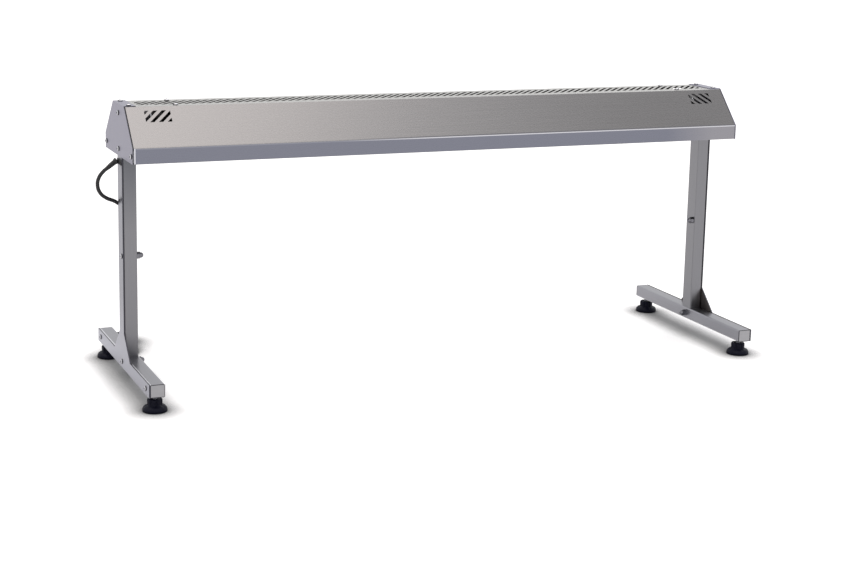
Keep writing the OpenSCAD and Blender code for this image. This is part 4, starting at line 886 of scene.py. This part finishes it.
def number(text, angle):
    """A printed number on the knob's face at this angle in degrees, read from below."""
    curve = bpy.data.curves.new("number_" + text, "FONT")
    curve.body = text
    curve.size = number_h
    curve.extrude = ink_t
    curve.align_x = "CENTER"
    curve.align_y = "CENTER"
    drawn = link("number_" + text, curve)
    ready = drawn.evaluated_get(bpy.context.evaluated_depsgraph_get())
    mesh = bpy.data.meshes.new_from_object(ready)
    bpy.data.objects.remove(drawn)
    turn = math.radians(angle)
    out = Vector((math.cos(turn), math.sin(turn), 0)) * number_r
    mesh.transform(
        Matrix.Translation(face_middle + out)
        @ Matrix.Rotation(math.pi, 4, "X")
        @ Matrix.Rotation(-turn - math.pi / 2, 4, "Z")
    )
    mesh.materials.clear()
    mesh.materials.append(white_ink)
    return link("number_" + text, mesh)


bpy.context.view_layer.update()
numbers = joined("dial_numbers", [
    number(text, angle)
    for text, angle in (("0", 0), ("1", 42), ("2", 138), ("3", 180), ("4", 222), ("5", 318))
])
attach(numbers, "control_knob")

inlay_shell = bmesh.new()
inlay_place = Matrix.Translation((knob_x, 0, knob_low.z - 0.1 * mm))
bmesh.ops.create_cube(inlay_shell, size=1, matrix=inlay_place @ Matrix.Diagonal((*inlay_sizes, 1)))
inlay_mesh = shell_mesh("grip_inlay", inlay_shell)
inlay_mesh.materials.append(anodised_aluminium("brushed_aluminium_inlay", "c9c9cc", "Y", 0.3))
inlay = link("grip_inlay", inlay_mesh)
inlay_edge = inlay.modifiers.new("rounded_edges", "BEVEL")
inlay_edge.width = 0.3 * mm
inlay_edge.segments = 3
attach(inlay, "control_knob")
dress(anodised_aluminium("spun_aluminium_dial", "c2c3c7", "Y", 0.28), "dial_plate")
dress(bright_steel, "knob_shaft")
# Moulded melamine: cream and satin, faintly clouded.
switch_resin = patterned("moulded_switch_resin", "cfc9b8", "bdb6a3", 0.4, spot=6 * mm,
                         depth=0.03 * mm, IOR=1.6)
dress(switch_resin, "rotary_switch", "terminal_block")

# Hangers
# Straps of steel bent to a hat shape and powder coated black. They hang the heater from the hood's
# top by a square-headed bolt in its bolt rail.

# Black powder coat on steel: satin, with its orange peel, rubbed paler in patches.
coated = patterned("black_powder_coat", "151518", "222226", 0.42, spot=1.5 * mm, detail=4.0,
                   depth=0.08 * mm, Coat_Weight=0.2)
dress(coated, "hangers")
dress(zinc_steel, "hanger_bolts")

# Gland and inner lead
# A nylon gland clamps the lead in the heater's end. From there it drops inside the left post and
# comes out of the slot under the hood. The wires to the lamps run on in a glass-fibre sleeve.
lead_d = 8 * mm
lead_r = lead_d / 2
inner_points_mm = [
    (-536, 20, 523.5), (-544, 20, 523.5), (-565, 30, 524.5), (-587, 26, 530.5), (-604, 12, 539),
    (-620, 2, 543), (-629, 0, 545), (-664, 0, 545), (-670, 1, 542), (-674, 3, 534), (-677, 5, 521),
    (-676, 8, 508.25), (-676, 11, 493.5), (-678, 12, 480.5), (-682, 12, 473.5), (-684, 12, 471.5),
    (-688, 12, 471.5),
]


def round_line(name, points, radius, material, sides=4):
    """A smooth round tube along the points, as a curve with closed ends."""
    curve = bpy.data.curves.new(name, "CURVE")
    curve.dimensions = "3D"
    curve.bevel_depth = radius
    curve.bevel_resolution = sides
    curve.resolution_u = 4
    curve.use_fill_caps = True
    spline = curve.splines.new("BEZIER")
    spline.bezier_points.add(len(points) - 1)
    for knot, place in zip(spline.bezier_points, points):
        knot.co = place
        knot.handle_left_type = "AUTO"
        knot.handle_right_type = "AUTO"
    curve.materials.append(material)
    return link(name, curve)


# Extruded black rubber: dull and faintly uneven, a little greyer where it was handled.
lead_rubber = patterned("extruded_lead_rubber", "121215", "1e1e22", 0.5, rough_spread=0.14,
                        spot=9 * mm, detail=4.0, depth=0.05 * mm, IOR=1.5)
inner_line = [Vector(p) * mm for p in inner_points_mm]
inner_lead = round_line("inner_lead", inner_line, lead_r - 0.1 * mm, lead_rubber)
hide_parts("supply_cord")
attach(inner_lead, "root")
dress(foot_nylon, "cable_gland")


def threaded(material, pitch, directions, wander, thread_tone, depth):
    """Lays threads of another tone over a material, roughly a pitch apart and standing proud."""
    tree = material.node_tree
    coords = add_node(tree, "ShaderNodeTexCoord")
    crossed = 1.0
    for direction in directions:
        bands = add_node(tree, "ShaderNodeTexWave", {
            "Vector": coords.outputs["Object"], "Scale": 0.5 / pitch, "Distortion": wander,
        }, bands_direction=direction)
        crossed = add_node(tree, "ShaderNodeMath", {
            0: bands.outputs["Fac"], 1: crossed,
        }, operation="MULTIPLY").outputs[0]
    mark(material, crossed, thread_tone)
    bump = add_node(tree, "ShaderNodeBump", {"Height": crossed, "Distance": depth})
    tree.links.new(bump.outputs[0], tree.nodes["Principled BSDF"].inputs["Normal"])


# Glass-fibre sleeve: a matt rust-red braid, drawn twice as coarse as the real one.
glass_fibre = patterned("glass_fibre_sleeve", "8d3b2c", "8d3b2c", 0.8)
threaded(glass_fibre, 1.6 * mm, ["DIAGONAL"], 2.0, "a8543f", 0.15 * mm)
loom_r = 2.7 * mm
loom_points_mm = [
    (-514, 20, 523.5), (-510, 20, 523.5), (-498, 6, 541), (-490, 3, 545), (-484, 3, 545),
    (-476, 4, 547), (-464, 18, 562.3), (-454, 22, 562.6), (580, 22, 562.6),
]
loom_line = [Vector(p) * mm for p in loom_points_mm]
loom = round_line("lamp_wires", loom_line, loom_r, glass_fibre)
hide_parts("wiring_loom")
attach(loom, "root")

# Strain relief
# A moulded sleeve that grips the lead where it leaves the post: a round flange against the grommet,
# then a ribbed taper that points down and away from the post.
sleeve_root = Vector((-703.2, 12, 471.5)) * mm
sleeve_l = 24 * mm
sleeve_pitch = math.radians(38)
sleeve_root_r = 6 * mm
sleeve_tip_r = 4.8 * mm
sleeve_ribs = 6
exit_heading = Vector((-math.cos(sleeve_pitch), 0, -math.sin(sleeve_pitch)))
exit_point = sleeve_root + sleeve_l * exit_heading


def sleeve_outline():
    """The flange, the ribs of the taper and its tip, from the post outwards."""
    points = [
        (0, -2.5 * mm), (sleeve_root_r + 0.6 * mm, -2.5 * mm), (sleeve_root_r + 0.9 * mm, 0.5 * mm),
    ]
    pitch = (sleeve_l - 3 * mm) / sleeve_ribs
    for i in range(sleeve_ribs):
        radius = sleeve_root_r + (sleeve_tip_r - sleeve_root_r) * (i + 0.5) / sleeve_ribs
        low = 2 * mm + pitch * i
        points += [
            (radius, low), (radius, low + 0.55 * pitch),
            (radius - 0.9 * mm, low + 0.65 * pitch), (radius - 0.9 * mm, low + 0.95 * pitch),
        ]
    return points + [
        (sleeve_tip_r - 0.2 * mm, sleeve_l - 0.6 * mm), (sleeve_tip_r - 0.5 * mm, sleeve_l),
        (0, sleeve_l),
    ]


# Moulded black rubber: satin, with a fine grain from the mould.
moulded_rubber = patterned("moulded_plug_rubber", "141417", "202024", 0.46, rough_spread=0.12,
                           spot=2 * mm, depth=0.04 * mm, IOR=1.5)
sleeve_mesh = turned("lead_sleeve", sleeve_outline(), 40)
soften(sleeve_mesh)
lean = exit_heading.to_track_quat("Z", "Y").to_matrix().to_4x4()
sleeve_mesh.transform(Matrix.Translation(sleeve_root) @ lean)
sleeve_mesh.materials.append(moulded_rubber)
lead_sleeve = link("lead_sleeve", sleeve_mesh)
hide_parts("strain_relief")
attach(lead_sleeve, "root")
dress(moulded_rubber, "cord_grommet")

# Mains lead
# A round flexible lead, 8 mm thick, with a black rubber sheath. It leaves the left post under the
# hood, turns in behind the post and runs down to the floor, where it is folded into a hank of two
# loops.
lead_route_mm = [
    (-739, 12.5, 438), (-741.5, 14.5, 421), (-735.5, 17.5, 405), (-722.5, 21, 393.5),
    (-702.5, 25, 384), (-688, 26, 371), (-682, 26, 352), (-680, 27, 328),
    (-677, 30, 300), (-673, 34, 270), (-669, 38, 240), (-665, 41, 210),
    (-662, 44, 180), (-660, 46, 150), (-660, 46, 120), (-660, 46, 90),
    (-660, 46, 62), (-660, 46.5, 40), (-660, 51, 22), (-660, 64, 9),
    (-660, 83, 4.3), (-659, 105, 4), (-656, 127, 4), (-650, 149, 4),
    (-642, 170, 4), (-632, 190, 4), (-622, 209, 4), (-614, 228, 4),
]
hank_mid = Vector((-628, 290, 0)) * mm
hank_turn = math.radians(13)
fold_r = 3 * lead_d
hank_run = 80 * mm
hank_loops = 2
waist = 10 * mm
layer_step = 9 * mm
waist_lift = 1.3 * mm
hank_start = -30 * mm
tail_r = 30 * mm
tail_turn = math.radians(38)
tail_rise = 9 * mm
run_steps = 6
fold_steps = 6
run_half = hank_run / 2


def waist_pull(along):
    """How far the strap draws the runs in, from 0 at the folds to 1 at the middle."""
    return (1 + math.cos(math.pi * along / run_half)) / 2


def run_across(along):
    """How far a run lies from the hank's middle line."""
    return fold_r - (fold_r - waist) * waist_pull(along)


def layer_height(layer):
    """How high the middle of a loop's lead lies."""
    return lead_r + layer * layer_step


def hank_points():
    """The hank's centreline in its own lines: across, along and up."""
    points = []
    for layer in range(hank_loops):
        start = hank_start if layer == 0 else -run_half
        base = layer_height(layer)
        for i in range(run_steps + 1):
            along = start + (run_half - start) * i / run_steps
            points.append((run_across(along), along, base + waist_lift * waist_pull(along)))
        for i in range(1, fold_steps):
            turn = math.pi * i / fold_steps
            points.append((fold_r * math.cos(turn), run_half + fold_r * math.sin(turn), base))
        for i in range(run_steps + 1):
            along = run_half - hank_run * i / run_steps
            climb = layer_step * (1 - math.cos(math.pi * i / run_steps)) / 2
            lift = waist_lift * waist_pull(along) + climb
            points.append((-run_across(along), along, base + lift))
        if layer < hank_loops - 1:
            for i in range(1, fold_steps):
                turn = math.pi * i / fold_steps
                points.append((
                    -fold_r * math.cos(turn), -run_half - fold_r * math.sin(turn),
                    layer_height(layer + 1),
                ))
    for i in range(1, fold_steps + 1):
        turn = (math.pi + tail_turn) * i / fold_steps
        points.append((
            -fold_r * math.cos(turn), -run_half - fold_r * math.sin(turn),
            tail_base + tail_rise * i / fold_steps,
        ))
    for i in range(1, 4):
        turn = tail_turn * (1 - i / 3)
        points.append((
            tail_mid[0] - tail_r * math.cos(turn),
            tail_mid[1] - tail_r * math.sin(turn),
            tail_base + tail_rise + (plug_up - tail_base - tail_rise) * i / 3,
        ))
    points.append((plug_across, plug_along, plug_up))
    return points


strap_gap = 0.4 * mm
strap_t = 1 * mm
plug_r = 18.5 * mm
tail_base = layer_height(hank_loops)
tail_mid = (
    (fold_r + tail_r) * math.cos(tail_turn),
    -run_half + (fold_r + tail_r) * math.sin(tail_turn),
)
plug_across = tail_mid[0] - tail_r
plug_along = tail_mid[1] + lead_d
plug_up = layer_height(1) + waist_lift + lead_r + strap_gap + strap_t + plug_r
hank_place = Matrix.Translation(hank_mid) @ Matrix.Rotation(-hank_turn, 4, "Z")
hank_line = [hank_place @ Vector(p) for p in hank_points()]
hank_heading = (hank_line[1] - hank_line[0]).normalized()
lead_line = (
    [exit_point, exit_point + lead_d * exit_heading]
    + [Vector(p) * mm for p in lead_route_mm]
    + [hank_line[0] - lead_d * hank_heading]
    + hank_line
)
mains_lead = round_line("mains_lead", lead_line, lead_r, lead_rubber)
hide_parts("cord", "cord_hank")
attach(mains_lead, "root")

# Hank strap
# A hook-and-loop strap of woven nylon round the hank's waist. It is wrapped once and pressed onto
# itself.
strap_w = 14 * mm
strap_pitch = 1.2 * mm
lap_l = 5 * mm
lap_t = 0.8 * mm
strap_low = layer_height(hank_loops - 1) + waist_lift + lead_r + strap_gap
strap_high = strap_low + 0.75 * layer_step
strap_bottom = waist_lift * waist_pull(strap_w / 2) - strap_gap / 2
strap_half = run_across(strap_w / 2) + lead_r + strap_gap


def strap_ring(grow):
    """The strap's section round the two bundles of runs, grown outwards."""
    corners = [
        (-strap_half, strap_bottom), (strap_half, strap_bottom),
        (strap_half, strap_low), (0, strap_low), (-waist, strap_high), (-strap_half, strap_high),
    ]
    outwards = [(-1, -1), (1, -1), (1, 1), (0.25, 1), (0.25, 1), (-1, 1)]
    return [
        (across + grow * side, up + grow * way)
        for (across, up), (side, way) in zip(corners, outwards)
    ]


def strap_mesh():
    """The wrap as a closed band, with the free end lapped on its top."""
    shell = bmesh.new()
    inner, outer = strap_ring(0), strap_ring(strap_t)
    count = len(inner)
    rows = []
    for along in (-strap_w / 2, strap_w / 2):
        rows.append([
            [shell.verts.new((across, along, up)) for across, up in ring] for ring in (inner, outer)
        ])
    (inner_a, outer_a), (inner_b, outer_b) = rows
    for i in range(count):
        j = (i + 1) % count
        shell.faces.new((outer_a[i], outer_a[j], outer_b[j], outer_b[i]))
        shell.faces.new((inner_b[i], inner_b[j], inner_a[j], inner_a[i]))
        shell.faces.new((inner_a[i], inner_a[j], outer_a[j], outer_a[i]))
        shell.faces.new((outer_b[i], outer_b[j], inner_b[j], inner_b[i]))
    lap = Matrix.Translation((-(waist + strap_half) / 2, 0, strap_high + 1.45 * strap_t))
    lap_size = Matrix.Diagonal((lap_l, strap_w * 0.96, lap_t, 1))
    bmesh.ops.create_cube(shell, size=1, matrix=lap @ lap_size)
    bmesh.ops.recalc_face_normals(shell, faces=shell.faces)
    mesh = shell_mesh("hank_strap", shell)
    mesh.transform(hank_place)
    return mesh


strap = link("hank_strap", strap_mesh())
# Woven nylon: matt, with fine crossing threads, drawn three times as wide as real ones to show.
woven_nylon = patterned("woven_nylon_strap", "2b2b2d", "2b2b2d", 0.85, spot=strap_pitch)
threaded(woven_nylon, strap_pitch, "XZ", 0.6, "3d3d41", 0.2 * mm)
strap.data.materials.append(woven_nylon)
edge = strap.modifiers.new("rounded_edges", "BEVEL")
edge.width = 0.25 * mm
edge.segments = 2
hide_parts("hank_tie")
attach(strap, "root")

# Mains plug
# A moulded two-pin plug on the lead's far end, which lies on the hank. Its body is one piece of
# rubber with a ribbed neck, a waisted grip and two flats at the face. Its pins are nickel-plated.
plug_neck = 16 * mm
plug_grip = 18 * mm
plug_face = 12 * mm
plug_flat = 15.5 * mm
neck_ribs = 5
finger_grooves = 12


def plug_outline():
    """The neck's ribs, the grip's waist and the rounded face, from the lead to the face."""
    points = [(0, 0), (lead_r + 1 * mm, 0)]
    for i in range(neck_ribs):
        low = plug_neck * i / neck_ribs
        radius = lead_r + (1 + 1.5 * i / neck_ribs) * mm
        points += [
            (radius, low + 0.4 * mm), (radius + 0.5 * mm, low + 0.9 * mm),
            (radius + 0.5 * mm, low + 2.0 * mm), (radius - 0.4 * mm, low + 2.4 * mm),
            (radius - 0.4 * mm, low + 3.0 * mm),
        ]
    top = plug_neck + plug_grip
    end = top + plug_face
    waist_r = lead_r + 7.5 * mm
    points += [(lead_r + 6 * mm, plug_neck + 0.6 * mm), (waist_r, plug_neck + 2 * mm)]
    for i in range(9):
        share = i / 8
        swell = waist_r + (plug_r - 1.5 * mm - waist_r) * (3 - 2 * share) * share ** 2
        points.append((swell, plug_neck + 2.5 * mm + (plug_grip - 5 * mm) * share))
    points += [
        (plug_r - 0.6 * mm, top - 1.2 * mm), (plug_r, top), (plug_r, end - 1 * mm),
        (plug_r - 0.3 * mm, end - 0.3 * mm), (plug_r - 1 * mm, end), (0, end),
    ]
    return points


def plug_flats(radius, height, turn):
    """Two flats beside the face, and shallow finger grooves round the grip."""
    if height > plug_neck + plug_grip - 2 * mm:
        reach = abs(math.sin(turn))
        return min(radius, plug_flat / reach) if reach > 0.01 else radius
    if height > plug_neck + 3 * mm:
        return radius - 0.5 * mm * (1 + math.cos(finger_grooves * turn)) / 2
    return radius


plug_place = (
    hank_place
    @ Matrix.Translation((plug_across, plug_along, plug_up))
    @ Matrix.Rotation(-math.pi / 2, 4, "X")
)
plug_mesh = turned("plug_body", plug_outline(), 72, plug_flats)
soften(plug_mesh)
plug_mesh.transform(plug_place)
plug_mesh.materials.append(moulded_rubber)
plug_body = link("plug_body", plug_mesh)
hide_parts("plug")
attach(plug_body, "root")

# Nickel plating: bright and slightly warm, with faint cloudy patches.
nickel = patterned("nickel_plated_brass", "c9c6bd", "b3aea2", 0.2, metallic=1.0)
dress(nickel, "plug_pins")

# Studio
# A white floor under a white surround. A broad soft lamp stands overhead, a little to the left, and
# a smaller one behind at the right. Camera, metal and glass see the floor lifted to white, with the
# object's shadow on it.
seen_white = 1.0
ambient = 0.5
floor_lift = 0.42
floor_lift_mirrored = 0.16
floor_half = 30.0
shadow_reach = 60 * mm
shadow_power = 3.0


def seen_directly(tree):
    """One where a ray comes from the camera, a reflection or glass, and nought elsewhere."""
    path = add_node(tree, "ShaderNodeLightPath")
    first = add_node(tree, "ShaderNodeMath", {
        0: path.outputs["Is Camera Ray"], 1: path.outputs["Is Glossy Ray"],
    }, operation="MAXIMUM")
    return add_node(tree, "ShaderNodeMath", {
        0: first.outputs[0], 1: path.outputs["Is Transmission Ray"],
    }, operation="MAXIMUM").outputs[0]


def white_floor():
    """White and matt. Close to what stands on it, its tone is painted darker as a contact shadow,
    and the lift to white fades.
    """
    material = bpy.data.materials.new("white_floor")
    material.use_nodes = True
    tree = material.node_tree
    tree.nodes.clear()
    near = add_node(tree, "ShaderNodeAmbientOcclusion", {"Distance": shadow_reach}, samples=8)
    open_share = add_node(tree, "ShaderNodeMath", {
        0: near.outputs["AO"], 1: shadow_power,
    }, operation="POWER")
    tone = add_node(tree, "ShaderNodeMix", {
        0: open_share.outputs[0], 6: linear("505053"), 7: linear("f8f8fa"),
    }, data_type="RGBA")
    matt = add_node(tree, "ShaderNodeBsdfDiffuse", {"Color": tone.outputs[2]})
    path = add_node(tree, "ShaderNodeLightPath")
    level = add_node(tree, "ShaderNodeMapRange", {
        "Value": path.outputs["Is Camera Ray"], "To Min": floor_lift_mirrored, "To Max": floor_lift,
    })
    bright = add_node(tree, "ShaderNodeMath", {
        0: open_share.outputs[0], 1: level.outputs[0],
    }, operation="MULTIPLY")
    lift = add_node(tree, "ShaderNodeMath", {
        0: seen_directly(tree), 1: bright.outputs[0],
    }, operation="MULTIPLY")
    glow = add_node(tree, "ShaderNodeEmission", {"Strength": lift.outputs[0]})
    both = add_node(tree, "ShaderNodeAddShader", {0: matt.outputs[0], 1: glow.outputs[0]})
    add_node(tree, "ShaderNodeOutputMaterial", {"Surface": both.outputs[0]})
    return material


floor_mesh = bpy.data.meshes.new("floor")
floor_mesh.from_pydata(
    [(x * floor_half, y * floor_half, 0) for x, y in ((-1, -1), (1, -1), (1, 1), (-1, 1))],
    [], [(0, 1, 2, 3)],
)
floor_mesh.materials.append(white_floor())
link("floor", floor_mesh)

world = bpy.data.worlds.new("studio")
world.use_nodes = True
bpy.context.scene.world = world
backdrop = world.node_tree.nodes["Background"]
backdrop.inputs["Color"].default_value = (1, 1, 1, 1)
level = add_node(world.node_tree, "ShaderNodeMapRange", {
    "Value": seen_directly(world.node_tree), "To Min": ambient, "To Max": seen_white,
})
world.node_tree.links.new(level.outputs[0], backdrop.inputs["Strength"])


def soft_lamp(name, toward, width_degrees, level, colour):
    """A soft lamp so far off that it lights all places alike. level is how bright it makes a white
    sheet that faces it, where one is white."""
    data = bpy.data.lights.new(name, "SUN")
    data.angle = math.radians(width_degrees)
    data.energy = level * math.pi
    data.color = colour
    lamp = link(name, data)
    lamp.rotation_euler = Vector(toward).to_track_quat("Z", "Y").to_euler()


soft_lamp("overhead_lamp", (-0.17, -0.05, 1), 60, 0.34, (1.0, 0.93, 0.86))
soft_lamp("back_lamp", (0.75, 0.45, 1), 36, 0.16, (0.97, 0.98, 1.0))

# Camera
# It stands 3.8 m off, in front of the lamp and to its left, 0.45 m above its top. The photograph is
# 850 x 567, and its optical axis meets the picture somewhat above the middle.
photo_w = 850
photo_h = 567
focal_px = 1723.7
axis_row = 220
camera_place = Vector((-1.4741, -3.4601, 1.0455))
camera_yaw = math.radians(-22.849)
camera_pitch = math.radians(-11.062)
camera_roll = math.radians(1.220)

camera_data = bpy.data.cameras.new("camera")
camera_data.sensor_width = 36
camera_data.lens = focal_px / photo_w * camera_data.sensor_width
camera_data.shift_y = (axis_row - photo_h / 2) / photo_w
camera = bpy.data.objects.new("camera", camera_data)
bpy.context.scene.collection.objects.link(camera)
camera.matrix_world = (
    Matrix.Translation(camera_place)
    @ Matrix.Rotation(camera_yaw, 4, "Z")
    @ Matrix.Rotation(math.pi / 2 + camera_pitch, 4, "X")
    @ Matrix.Rotation(camera_roll, 4, "Z")
)
bpy.context.scene.camera = camera

bpy.context.scene.view_settings.view_transform = "Standard"
